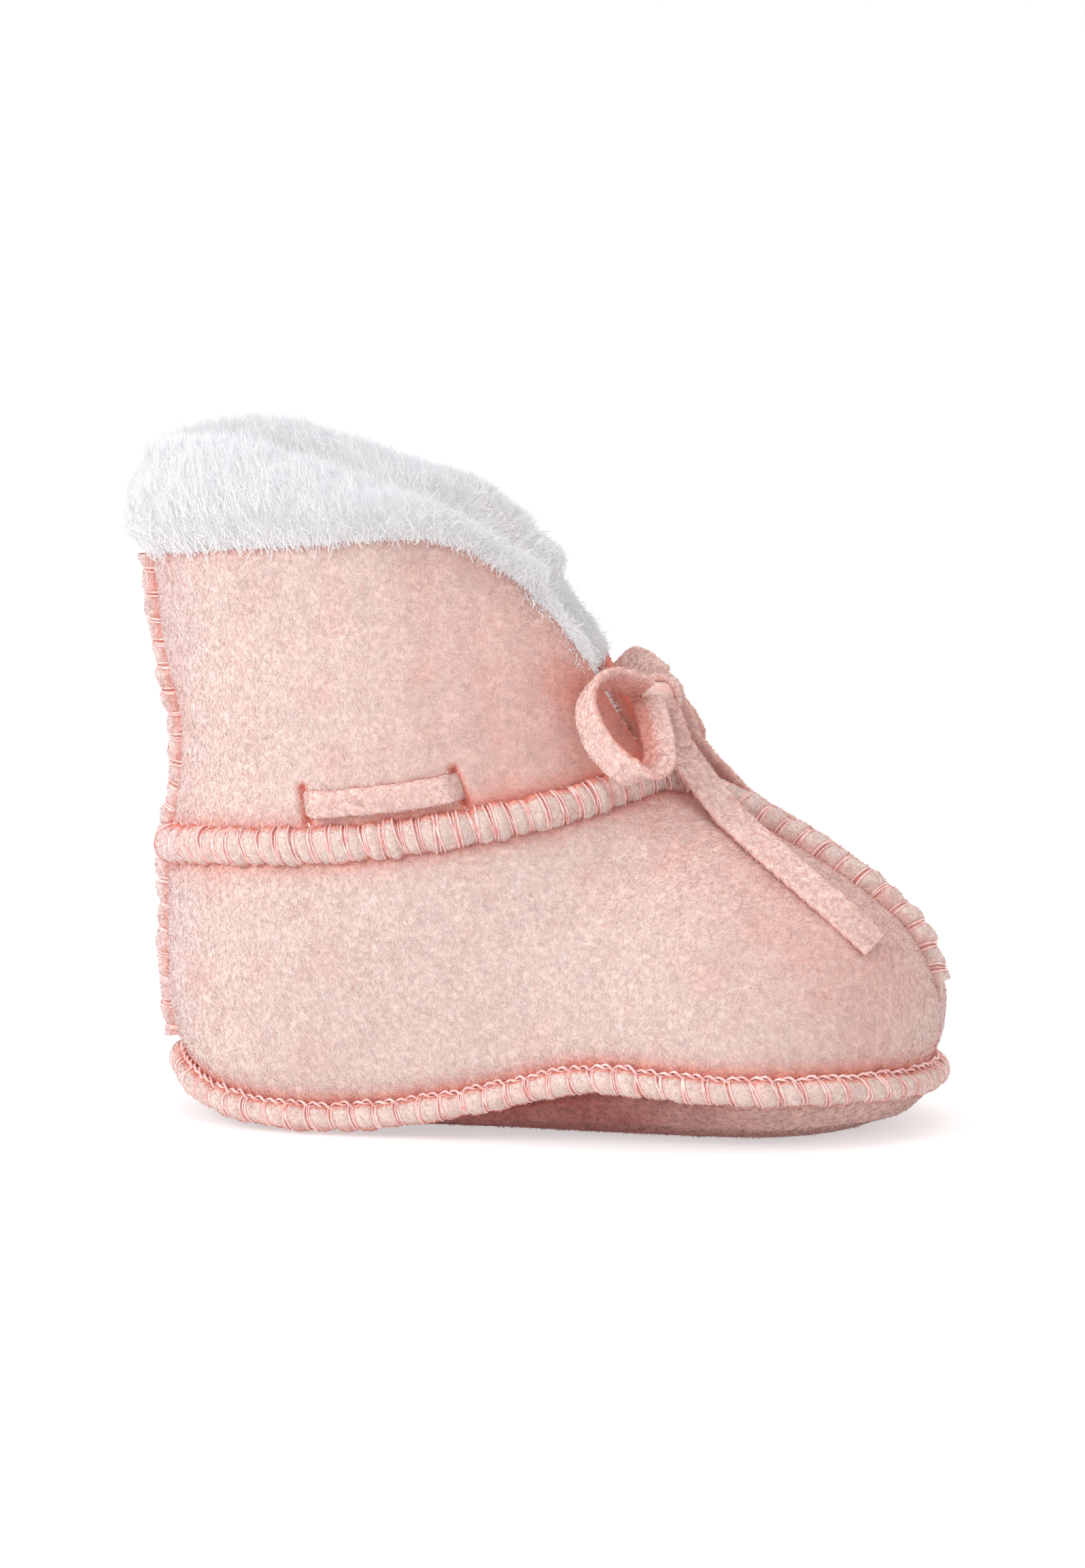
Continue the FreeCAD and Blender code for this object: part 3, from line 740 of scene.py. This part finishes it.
def add_nap(name, grid, shade_and_mottle, per_mm2, material, body, side, seed, ring=False, reach=0.65):
    """Short fibres brushed over a grid of points, as a list of pieces small enough to be kept whole.

    ring says that each row of the grid closes on itself.
    """
    picker = np.random.default_rng(seed)
    centres = grid.mean(axis=1, keepdims=True)
    if ring:
        grid = np.concatenate([grid, grid[:, :1]], axis=1)
        shade_and_mottle = np.concatenate([shade_and_mottle, shade_and_mottle[:, :1]], axis=1)
    corner = grid[:-1, :-1]
    ahead, above = grid[1:, :-1] - corner, grid[:-1, 1:] - corner
    normals = np.cross(ahead, above)
    if ring:
        normals *= np.sign(np.sum(normals * (corner - centres[:-1]), axis=-1, keepdims=True))
    area = np.linalg.norm(normals, axis=-1)
    count = int(area.sum() * per_mm2 * (1))
    cell = picker.choice(area.size, count, p=area.ravel() / area.sum())
    i, j = np.unravel_index(cell, area.shape)
    x, y = picker.uniform(0, 1, (2, count, 1))
    roots = corner[i, j] + ahead[i, j] * x + above[i, j] * y
    normal = unit(normals[i, j])
    turn = picker.normal(size=(count, 3)) + np.array([0.4, 0, -0.7])
    turn = unit(turn - normal * np.sum(turn * normal, axis=-1, keepdims=True))
    length = picker.uniform(0.5, 1.3, (count, 1)) * reach
    tips = roots + turn * length + normal * picker.uniform(0.05, 0.45, (count, 1)) * reach
    bend = np.cross(normal, turn) * length * picker.normal(0, 0.35, (count, 1)) + normal * 0.06
    # Each fibre takes the painted shade of the surface under it, varied at random.
    tone = shade_and_mottle[i, j] + picker.uniform(-0.06, 0.1, count)
    pieces = []
    for number, part in enumerate(np.array_split(np.arange(count), 1 + count // FIBRES_A_PIECE)):
        points, faces, _ = ribbons(roots[part], tips[part], bend[part], NAP_WIDTH, normal[part])
        points[:, 2] = np.maximum(points[:, 2], 0.02)
        tones = np.repeat(tone[part], (RIBBON_STEPS + 1) * 2)
        tint = {"shade_and_mottle": np.clip(tones, 0, 1), "turn_shade": turn_shade_of(points)}
        pieces.append(add_piece(f"{name}_{number}", points, faces, material, body, side, (), tint))
    return pieces


def turn_shade_of(points):
    """Painted cool shade where the suede turns away towards the back seam."""
    return 0.25 * ramp(-points[..., 0], 43, 53)


def slit_depth(u, s):
    """How deep the suede sinks into the two lace slits, from 0 to 1."""
    tall = ramp(s, LACE_LOW - 0.03, LACE_LOW) * (1 - ramp(s, LACE_HIGH, LACE_HIGH + 0.03))
    deep = np.zeros_like(u)
    for slit in (SLIT_BACK, SLIT_FRONT):
        deep = np.maximum(deep, np.exp(-((u - slit) / 0.008) ** 2))
    return deep * tall


def add_shaft_panels(suede, nap):
    """The suede of the shaft with its lace slits, bending into the front flap of the collar."""
    u, s = np.meshgrid(np.linspace(0, 1, 240), np.linspace(0.004, 1, 130), indexing="ij")
    u = u * (1 + EDGE_SWELL * ramp(s, 0.4, 0.65) * (1 - ramp(s, 0.8, 1.0)))
    s = s - 0.12 * ramp(u, 0.8, 1.0) ** 2 * ramp(s, 0.6, 1.0)
    above_ankle = shaft.height(u) * s
    run = shaft.low.length * THROAT_SHARE * u
    base = shaft.point(u, s)
    edge = np.minimum(shaft.height(u) * (1 - s), 75 * (1 - u))
    for name, side in SIDES:
        pucker = seam_pucker(above_ankle, run, 2.7, 0.12)
        walls = panel_walls(base, shaft.normal(u, s), shaft_swell(u, s, side) + pucker)
        # Painted shade: deeper coral above the ankle seam, in the lace slits, along the free edges, towards
        # the front and at its lower corner, with random mottle.
        shade_and_mottle = 0.95 * np.exp(-(above_ankle / 3.3) ** 2) + 1.4 * slit_depth(u, s)
        shade_and_mottle += 0.3 * np.exp(-edge / 0.8)
        shade_and_mottle += 0.10 * ramp(-lumps(base, 8, 51 + side), 0.1, 1.0) + 0.3 * ramp(base[..., 0], -32, 14)
        shade_and_mottle += 0.4 * ramp(u, 0.8, 1.0) * (1 - ramp(s, 0.3, 0.6))
        nodes = ["shaft_panel_" + name, "collar_flap_" + name]
        for piece in add_panel("shaft", name, side, None, nodes, walls, np.clip(shade_and_mottle, 0, 1),
                               suede, nap, 311 + side):
            blend_fold(piece)


def blend_fold(piece):
    """Bake a piece's placement into its mesh."""
    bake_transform(piece)


def add_seam(key, seam, suede, nap, thread, side, nodes, chain=None):
    """The roll of a seam with its nap, its stitches and, on one side, its linking thread."""
    rolled, faces, shade_and_mottle = seam.roll()
    add_piece(key + "_roll", rolled, faces, suede, "boot", side, (),
              {"shade_and_mottle": shade_and_mottle, "turn_shade": turn_shade_of(rolled)})
    add_nap(key + "_nap", rolled, shade_and_mottle, PANEL_NAP, nap, "boot", side, 400 + len(key) + side, True, 0.5)
    points, faces = seam.stitches()
    add_piece(key + "_thread", points, faces, thread, "boot", side, nodes)
    if chain is not None:
        points, faces = seam.chain(chain)
        add_piece(key + "_chain", points, faces, thread, "boot", side)


def add_seams(suede, nap, thread):
    """Every rolled and whipped edge."""
    ankle = Seam(top_line, 0.0, THROAT_SHARE + 0.024, 2.5, level_frame, 2.7, 2.5, sink=0.3)
    sole = Seam(sole_line, 0.0, 1.0, 3.2, level_frame, 1.75, 2.1, shift=-1.5, slant=0.5, sink=0.2)
    centre = Seam(top_line, THROAT_SHARE + 0.01, 1.0, 3.3, middle_frame, 2.6, 2.8, slant=0.8, sink=0.7,
                  side_shade=0.25)
    back_below = Seam(back_low, 0.05, 1.0, 3.4, middle_frame, 1.9, 2.6, slant=0.6, sink=0.1, side_shade=0.5)
    back_above = Seam(back_high, 0.0, 1.0, 3.4, middle_frame, 1.9, 2.6, slant=0.6, sink=0.1, side_shade=0.5)
    for name, side in SIDES:
        add_seam("ankle_" + name, ankle, suede, nap, thread, side, ["ankle_stitching_" + name], -0.15)
        add_seam("sole_" + name, sole, suede, nap, thread, side, ["sole_stitching"], 0.1)
    add_seam("centre", centre, suede, nap, thread, 1, ["centre_stitching"])
    add_seam("back_low", back_below, suede, nap, thread, 1, ["back_stitching"])
    add_seam("back_high", back_above, suede, nap, thread, 1, ["back_stitching"])


def sole_ring(inset, level):
    """A closed ring around the sole, inset from its seam.

    level is the ring's height, or works it out from the seam's.
    """
    share = np.linspace(0, 1, RING_POINTS)
    seam, along = sole_line.at(share), sole_line.along(share)
    inward = unit(np.stack([-along[:, 1], along[:, 0], 0 * share], axis=-1))
    inward[0], inward[-1, 0] = (1, 0, 0), -1
    right = seam + inward * inset
    keep_right(right, 0)
    right[:, 2] = level(seam[:, 2]) if callable(level) else level
    left = right[-2:0:-1] * np.array([1, -1, 1])
    return np.concatenate([right, left])


def between(keys, steps):
    """Rings that lead from each key ring to the next."""
    rows = []
    for first, second in zip(keys, keys[1:]):
        for share in np.linspace(0, 1, steps, endpoint=False):
            rows.append(first * (1 - share) + second * share)
    return rows + [keys[-1]]


def belly(z):
    """The rounded underside of the sole between its flat foot and its rim."""
    return 0.25 * (z - 3)


def add_sole(material):
    """The suede sole: a flat foot, a rounded belly and a rim under the whipped edge."""
    keys = [(STANDING_INSET + 9, 0.05), (STANDING_INSET, 0.6),
            (BELLY_INSET + 2.4, lambda z: 0.6 * belly(z) + 1.0), (BELLY_INSET, lambda z: belly(z) + 1.1),
            (BELLY_INSET - 2.4, lambda z: belly(z) * 0.45 + (z - 1.2) * 0.55),
            (0.3, lambda z: z - 2.0), (-1.2, lambda z: z - 1.6)]
    rows = np.array(between([sole_ring(*key) for key in keys], 8))
    rows[..., 2] += 0.18 * lumps(rows, 9, 77) * ramp(rows[..., 2], 0.2, 2)
    rows[..., 2] = np.maximum(rows[..., 2], 0.02)
    edge = rows[0]
    middle = edge * np.array([1, 0, 1])
    fill = [middle * (1 - t) + edge * t for t in np.linspace(0.02, 0.9, 6)]
    rows = np.concatenate([fill, rows])
    # Painted shade under the sole, full at the heel and fading towards the toe, with random mottle.
    shade_and_mottle = np.clip(1 - 0.9 * ramp(rows[..., 0], 5, 48) + 0.1 * lumps(rows, 7, 78), 0, 1)
    faces = grid_faces(*rows.shape[:2], wrap=True)[:, ::-1]
    add_piece("shaded_sole_suede", rows, faces, material, "boot", 1, ["outsole"],
              {"shade_and_mottle": shade_and_mottle, "turn_shade": 0 * shade_and_mottle})
    outside = len(fill)
    add_nap("sole_nap", rows[outside:], shade_and_mottle[outside:], SOLE_NAP, material, "boot", 1, 351, True, 0.6)


# ---- wool

def collar_route(u, s):
    """Places on the shaft patch for the wool, which reaches past the front edge and the collar."""
    length = shaft.low.length * THROAT_SHARE
    across = u * (0.965 + (FRONT_WOOL / length + 0.035) * ramp(s, 0.36, 0.56))
    rise = COLLAR_RISE + (COLLAR_RISE_FRONT - COLLAR_RISE) * ramp(u, 0.4, 0.88)
    over = 1 + (s - 1) * rise / shaft.height(np.minimum(across, 1))
    cut = CORNER_CUT * ramp(u, 0.72, 1.0) ** 2 * ramp(s, 0.6, 1.0)
    return across, np.where(s <= 1, s, over) - cut


def wool_offsets(s):
    """Offsets of the outer and the inner face of the wool from the shaft's surface."""
    flare = 1.5 * ramp(s, 0.98, 1.3) - 1.4 * ramp(s, 1.6, 2.0)
    thick = SHAFT_FLEECE - 0.8 + 3.4 * ramp(s, 0.8, 1.1) - 2.2 * ramp(s, 1.5, 2.0)
    return -SUEDE - PLY_GAP + flare, -SUEDE - PLY_GAP - thick


def wool_at(u, s, face):
    """Points and outward directions of the wool; face is 0 outside to 1 inside."""
    place = collar_route(u, s)
    outer, inner = wool_offsets(s)
    normal = shaft.normal(*place)
    offset = outer + (inner - outer) * face
    points = shaft.point(*place) + normal * offset[..., None]
    keep_right(points, WOOL_INSIDE)
    return points, normal


def add_wool_core(material):
    """The dense wool under the loose fibres."""
    u, s = np.meshgrid(np.linspace(0, 1, 90), np.linspace(0.0, 2.0, 92), indexing="ij")
    outer, normal = wool_at(u, s, np.zeros_like(u))
    inner, _ = wool_at(u, s, np.ones_like(u))
    across = collar_route(u, s)[0]
    beyond = np.maximum(ramp(s, 0.95, 1.1), ramp(across, 0.985, 1.01))
    for name, side in SIDES:
        bumpy = 0.5 * lumps(outer, 4.5, 61 + side) * beyond + 1.3 * ramp(across, 0.99, 1.02)
        out = outer + normal * bumpy[..., None]
        into = inner + normal * (0.5 * lumps(inner, 4.0, 71 + side))[..., None]
        keep_right(into, WOOL_INSIDE)
        points, faces = sheet_solid(out, into)
        piece = add_piece("shaft_wool_" + name, points, faces, material, None, side,
                          ["shaft_fleece_" + name, "flap_fleece_" + name],
                          {"shade_and_mottle": np.zeros(len(points))})
        blend_fold(piece)


def clumped(roots, directions, length, picker):
    """Fibres in clumps: every clump leans its own way and its fibres meet near its tip."""
    lean = unit(directions + 0.2 * picker.normal(size=roots.shape))
    tips = roots + lean * (length * picker.uniform(0.75, 1.15, size=len(roots)))[:, None]
    shape = (len(roots) * FIBRES_A_CLUMP, 3)
    own_roots = np.repeat(roots, FIBRES_A_CLUMP, axis=0) + picker.normal(size=shape) * CLUMP_SPREAD
    own_tips = np.repeat(tips, FIBRES_A_CLUMP, axis=0) + picker.normal(size=shape) * CLUMP_SPREAD * 0.62
    own_tips += (own_roots - own_tips) * picker.uniform(0, 0.35, size=(shape[0], 1))
    return own_roots, own_tips, picker.normal(size=shape) * 0.28


def add_fibres(zone, side_name, side, roots, directions, facing, length, material, seed, root_shade):
    """Clumped fibres at roots.

    The last argument is how much painted shade, in the suede's colour, their roots take on.
    """
    picker = np.random.default_rng(seed)
    starts, tips, bend = clumped(roots, directions, length, picker)
    keep_right(starts, 0.6)
    faces_to = np.repeat(facing, FIBRES_A_CLUMP, axis=0) + 0.3 * picker.normal(size=starts.shape)
    parts = np.array_split(np.arange(len(starts)), 1 + len(starts) // FIBRES_A_PIECE)
    for number, part in enumerate(parts):
        points, faces, depth = ribbons(starts[part], tips[part], bend[part], WOOL_WIDTH, faces_to[part])
        piece = add_piece(f"{zone}_fibres_{side_name}_{number}", points, faces, material, None, side,
                          (), {"shade_and_mottle": root_shade * depth})
        blend_fold(piece)


def add_wool_fibres(material):
    """Loose fibres outside, on top of, inside and in front of the collar."""
    thin = 1.0
    for name, side in SIDES:
        picker = np.random.default_rng(100 + side)
        for zone, count, u_range, s_range, face_range, lean, length in WOOL_ZONES:
            count = int(count * thin)
            u = picker.uniform(*u_range, size=count)
            s = picker.uniform(*s_range, size=count)
            face = picker.uniform(*face_range, size=count)
            points, normal = wool_at(u, s, face)
            rise = unit(wool_at(u, s + 0.05, face)[0] - wool_at(u, s - 0.05, face)[0])
            directions = rise + normal * lean
            facing = -normal if zone == "inner" else normal
            # The roots of the fibres take a little painted shade.
            root_shade = 0.3
            forward = unit(np.cross(rise, normal))
            if zone == "edge":
                directions = forward * 0.7 + rise * 0.7 + normal * lean
            if zone == "throat":
                directions = forward * 0.5 - normal + rise * 0.3
                # The throat's fibres take a deep painted shade at their roots.
                root_shade = 0.9
            if zone == "front":
                directions = forward * 0.8 + rise * 0.7 + normal * (0.5 - face)[:, None] * 0.9
                facing = normal + forward * 0.6
            lengths = length * (1 - 0.4 * ramp(u, 0.7, 0.95))
            add_fibres(zone, name, side, points, unit(directions), facing, lengths, material,
                       200 + side, root_shade)


def add_linings(material):
    """The wool linings of the foot's sides."""
    u, share = np.meshgrid(np.linspace(0, 0.985, 120), np.linspace(0, 1, 50), indexing="ij")
    low = lower.low.at(u)[..., 2]
    start = np.maximum(0.03, (FOOTBED + 0.7 - low) / (lower.high.at(u)[..., 2] - low))
    s = start + (0.995 - start) * share
    base, normal = lower.point(u, s), lower.normal(u, s)
    for name, side in SIDES:
        outer = base - normal * (SUEDE + PLY_GAP)
        depth = SUEDE + PLY_GAP + FLEECE - 0.3 + 0.35 * lumps(base, 3.5, 81 + side)
        inner = base - normal * depth[..., None]
        keep_right(outer, WOOL_INSIDE)
        keep_right(inner, WOOL_INSIDE)
        points, faces = sheet_solid(outer, inner)
        # Painted shade: the whole lining takes a constant 0.4 share of the wool's shade colour.
        add_piece("foot_wool_" + name, points, faces, material, "boot", side,
                  ["lower_fleece_" + name], {"shade_and_mottle": np.full(len(points), 0.4)})


def add_footbed(material):
    """The wool under the foot."""
    keys = [(STANDING_INSET + 0.6, 2.5), (BELLY_INSET, lambda z: belly(z) + 2.6),
            (BELLY_INSET, FOOTBED - 1.4), (BELLY_INSET + 1.4, FOOTBED), (BELLY_INSET + 5, FOOTBED),
            (STANDING_INSET + 4, FOOTBED)]
    rows = between([sole_ring(*key) for key in keys], 6)
    rows += [rows[-1] * np.array([1, t, 1]) for t in np.linspace(0.85, 0.02, 6)]
    rows = np.array(rows)
    rows[..., 2] += 0.3 * lumps(rows, 4, 91) * ramp(rows[..., 2], FOOTBED - 1, FOOTBED)
    # Painted shade: the whole footbed takes a constant 0.5 share of the wool's shade colour.
    add_piece("footbed_wool", rows, grid_faces(*rows.shape[:2], wrap=True), material, "boot", 1,
              ["sole_fleece"], {"shade_and_mottle": np.full(rows.shape[:2], 0.5)})


# ---- lace

def band(line, across, half, thick, sides=28, seed=1):
    """A flat strap along points with rounded, slightly ragged edges."""
    tangent = unit(np.gradient(line, axis=0))
    side = np.broadcast_to(across, line.shape)
    side = unit(side - tangent * np.sum(side * tangent, axis=-1, keepdims=True))
    up = np.cross(tangent, side)
    angle = np.arange(sides) * 2 * math.pi / sides
    wide = np.sign(np.cos(angle)) * np.abs(np.cos(angle)) ** 0.6
    tall = np.sign(np.sin(angle)) * np.abs(np.sin(angle)) ** 0.6
    ring = (line[:, None] + side[:, None] * (wide * half)[None, :, None]
            + up[:, None] * (tall * thick / 2)[None, :, None])
    ragged = lumps(ring, 1.1, seed) * 0.09 + lumps(ring, 3.0, seed + 1) * 0.07
    ring = ring + (ring - line[:, None]) / half * ragged[..., None]
    return ring, np.abs(wide)


def strap_faces(ring):
    """Faces of a strap, closed at both ends."""
    rows, columns = ring.shape[:2]
    faces = grid_faces(rows, columns, wrap=True)
    caps = []
    for row, flip in ((0, False), (rows - 1, True)):
        for i in range(columns // 2 - 1):
            quad = [row * columns + i, row * columns + i + 1,
                    row * columns + columns - 2 - i, row * columns + (columns - 1 - i) % columns]
            caps.append(quad[::-1] if flip else quad)
    return np.concatenate([faces, np.array(caps)])


def add_strap(name, line, across, material, body, side, nodes, half=LACE_WIDTH / 2, thick=LACE_THICK,
              seed=1, inside=0.0):
    """A strap of lace suede along points, and its nap; inside deepens the painted shade on its inner face.
    """
    line = np.array(line, float)
    ring, wide = band(line, across, half, thick, seed=seed)
    inward = np.sum((ring - line[:, None]) * (line.mean(axis=0) - line)[:, None], axis=-1)
    # Painted shade: a little everywhere, more at the strap's edges and on its inner face.
    shade_and_mottle = 0.15 + 0.2 * ramp(wide, 0.85, 1.0) + inside * ramp(inward / inward.max(), 0.0, 0.5)
    piece = add_piece(name, ring, strap_faces(ring), material, body, side, nodes,
                      {"shade_and_mottle": shade_and_mottle, "turn_shade": 0 * shade_and_mottle})
    nap = add_nap(name + "_nap", ring, shade_and_mottle, LACE_NAP, material, body, side, 500 + seed, True, 0.5)
    return piece, nap


def nurbs_line(points):
    """Points of the smooth NURBS line that has points as its control points, in millimetres."""
    data = bpy.data.curves.new("route", "CURVE")
    data.dimensions = "3D"
    data.resolution_u = 24
    spline = data.splines.new("NURBS")
    spline.points.add(len(points) - 1)
    for place, point in zip(spline.points, points):
        place.co = (*point, 1)
    spline.order_u = 3
    spline.use_endpoint_u = True
    holder = bpy.data.objects.new("route", data)
    mesh = bpy.data.meshes.new_from_object(holder)
    line = np.array([v.co for v in mesh.vertices])
    bpy.data.objects.remove(holder)
    return line


def lace_on_shaft(u):
    """Points of the shaft's patch under the middle of the lace, with directions outward and up."""
    middle = np.full_like(u, (LACE_LOW + LACE_HIGH) / 2)
    rise = unit(shaft.point(u, middle + 0.05) - shaft.point(u, middle - 0.05))
    return shaft.point(u, middle), shaft.normal(u, middle), rise


def add_lace(material):
    """The lace: side runs through the slits, hidden runs, and the bow with its loops and tails."""
    back, front = SLIT_BACK - SLIT_OVERLAP, SLIT_FRONT + SLIT_OVERLAP
    for name, side in SIDES:
        u = np.linspace(back, front, 90)
        base, normal, rise = lace_on_shaft(u)
        shown = ramp(u, back, SLIT_BACK + 0.03) * (1 - ramp(u, SLIT_FRONT - 0.03, front))
        add_strap("lace_run_" + name, base + normal * (-1.4 + 2.1 * shown)[:, None], rise, material, "boot",
                  side, ["lace_side_run_" + name], half=1.95, thick=1.7, seed=5 + side)
        for key, start, end, node in (("front", SLIT_FRONT, 0.97, "lace_front_run_" + name),
                                      ("back", 0.0, SLIT_BACK, "lace_back_run")):
            base, normal, rise = lace_on_shaft(np.linspace(start, end, 60))
            add_strap(f"lace_{key}_hidden_{name}", base - normal * HIDDEN_DEPTH, rise, material, "boot",
                      side, [node], half=1.9, thick=0.9, seed=45 + side)
        loop = nurbs_line(LOOP_ROUTE)
        share = ramp(np.linspace(0, 1, len(loop)), 0.3, 0.8)[:, None]
        across = LOOP_ACROSS[0] * (1 - share) + LOOP_ACROSS[1] * share
        add_strap("bow_loop_" + name, loop, across, material, "loop_" + name, side,
                  ["lace_loop_" + name], seed=15 + side, inside=0.55)
        add_tail(material, name, side)
        add_neck(material, name, side)
    add_knot(material)


def add_tail(material, name, side):
    """A loose end of the lace over the foot."""
    share = np.linspace(0, 1, 7)
    under, u, s = tail_route(7)
    route = under + lower.normal(u, s) * TAIL_CLEAR
    route[0] = TAIL_ROOT
    line = nurbs_line(route)
    reach = np.linspace(0, 1, len(line))
    along = lower.point(u[-1:], s[-1:])[0] - lower.point(u[:1], s[:1])[0]
    turned = lower.normal(np.interp(reach, share, u), np.interp(reach, share, s)) + np.array([0.1, -0.7, 0])
    across = np.cross(along, turned)
    piece, nap = add_strap("bow_tail_" + name, line, unit(across), material, "tail_" + name, side,
                           ["lace_tail_" + name], seed=25 + side)


def add_neck(material, name, side):
    """The lace between the knot and the place where its loose tail begins to swing."""
    line = nurbs_line([(15.8, -2.0, 60.2), (18.0, -3.6, 58.6), (19.2, -4.4, 56.0), (20.0, -5.0, 53.4)])
    add_strap("bow_neck_" + name, line, NECK_ACROSS, material, "boot", side, (), half=2.1, thick=1.1,
              seed=55 + side)


def add_knot(material):
    """A rounded knot with one turn of lace wrapped over it."""
    centre = np.array(KNOT_CENTRE)
    angle, tilt = np.meshgrid(np.linspace(0, 2 * math.pi, 48, endpoint=False),
                              np.linspace(0.02, math.pi - 0.02, 32), indexing="ij")
    ball = np.stack([np.sin(tilt) * np.cos(angle), np.sin(tilt) * np.sin(angle), np.cos(tilt)], axis=-1)
    soft = np.sign(ball) * np.abs(ball) ** 0.75
    points = centre + soft * np.array([2.5, 3.4, 2.6])
    points = points + ball * (0.3 * lumps(points, 3.0, 7))[..., None]
    # Painted shade: about a quarter of the way to the lace's shade colour, with random mottle.
    shade_and_mottle = np.clip(0.25 + 0.3 * lumps(points, 2.6, 8), 0, 1)
    faces = grid_faces(32, 48, wrap=True)
    add_piece("bow_knot", points.transpose(1, 0, 2), faces, material, "boot", 1,
              ["lace_knot"], {"shade_and_mottle": shade_and_mottle.T, "turn_shade": 0 * shade_and_mottle.T})
    turn = np.linspace(0, 2 * math.pi, 80)
    wrap = centre + np.stack([2.9 * np.cos(turn), 0.5 * np.sin(turn), 2.9 * np.sin(turn)], axis=-1)
    add_strap("bow_wrap", wrap, SIDEWAYS, material, "boot", 1, (), half=1.8, thick=1.1, seed=33)


# ---- the scene

add_camera()
add_world()
add_area_light("key", (-0.8, -0.7, 0.6), 0.7, 9.0)
add_area_light("top", (0.1, 0.1, 1.1), 0.9, 2.0)

floor_points = np.array([(-3000, -3000, 0), (3000, -3000, 0), (3000, 3000, 0), (-3000, 3000, 0)], float)
floor = add_piece("floor", floor_points, [(0, 1, 2, 3)], floor_material(), None)

# The last colour of each suede is its painted shade colour, a deeper coral for creases, seams and places
# the occlusion node finds covered.
suede = suede_material("suede", srgb(230, 209, 201), srgb(224, 198, 189), srgb(234, 134, 114))
nap = suede_material("suede_nap", srgb(243, 228, 221), srgb(235, 213, 205), srgb(236, 148, 130))
# The sole's suede is a darker, shaded copy of the suede: painted shade for the underside in the floor's
# shadow.
shaded_sole_suede = suede_material("shaded_sole_suede", srgb(226, 190, 180), srgb(214, 168, 158), srgb(150, 82, 76))
lace_suede = suede_material("lace_suede", srgb(240, 220, 213), srgb(228, 196, 187), srgb(230, 142, 124))
thread = thread_material()
wool = fur_material("wool", srgb(216, 217, 219), srgb(204, 206, 209))

add_lower_panels(suede, nap)
add_shaft_panels(suede, nap)
add_seams(suede, nap, thread)
add_sole(shaded_sole_suede)
add_wool_core(wool)
add_wool_fibres(wool)
add_linings(wool)
add_footbed(wool)
add_lace(lace_suede)
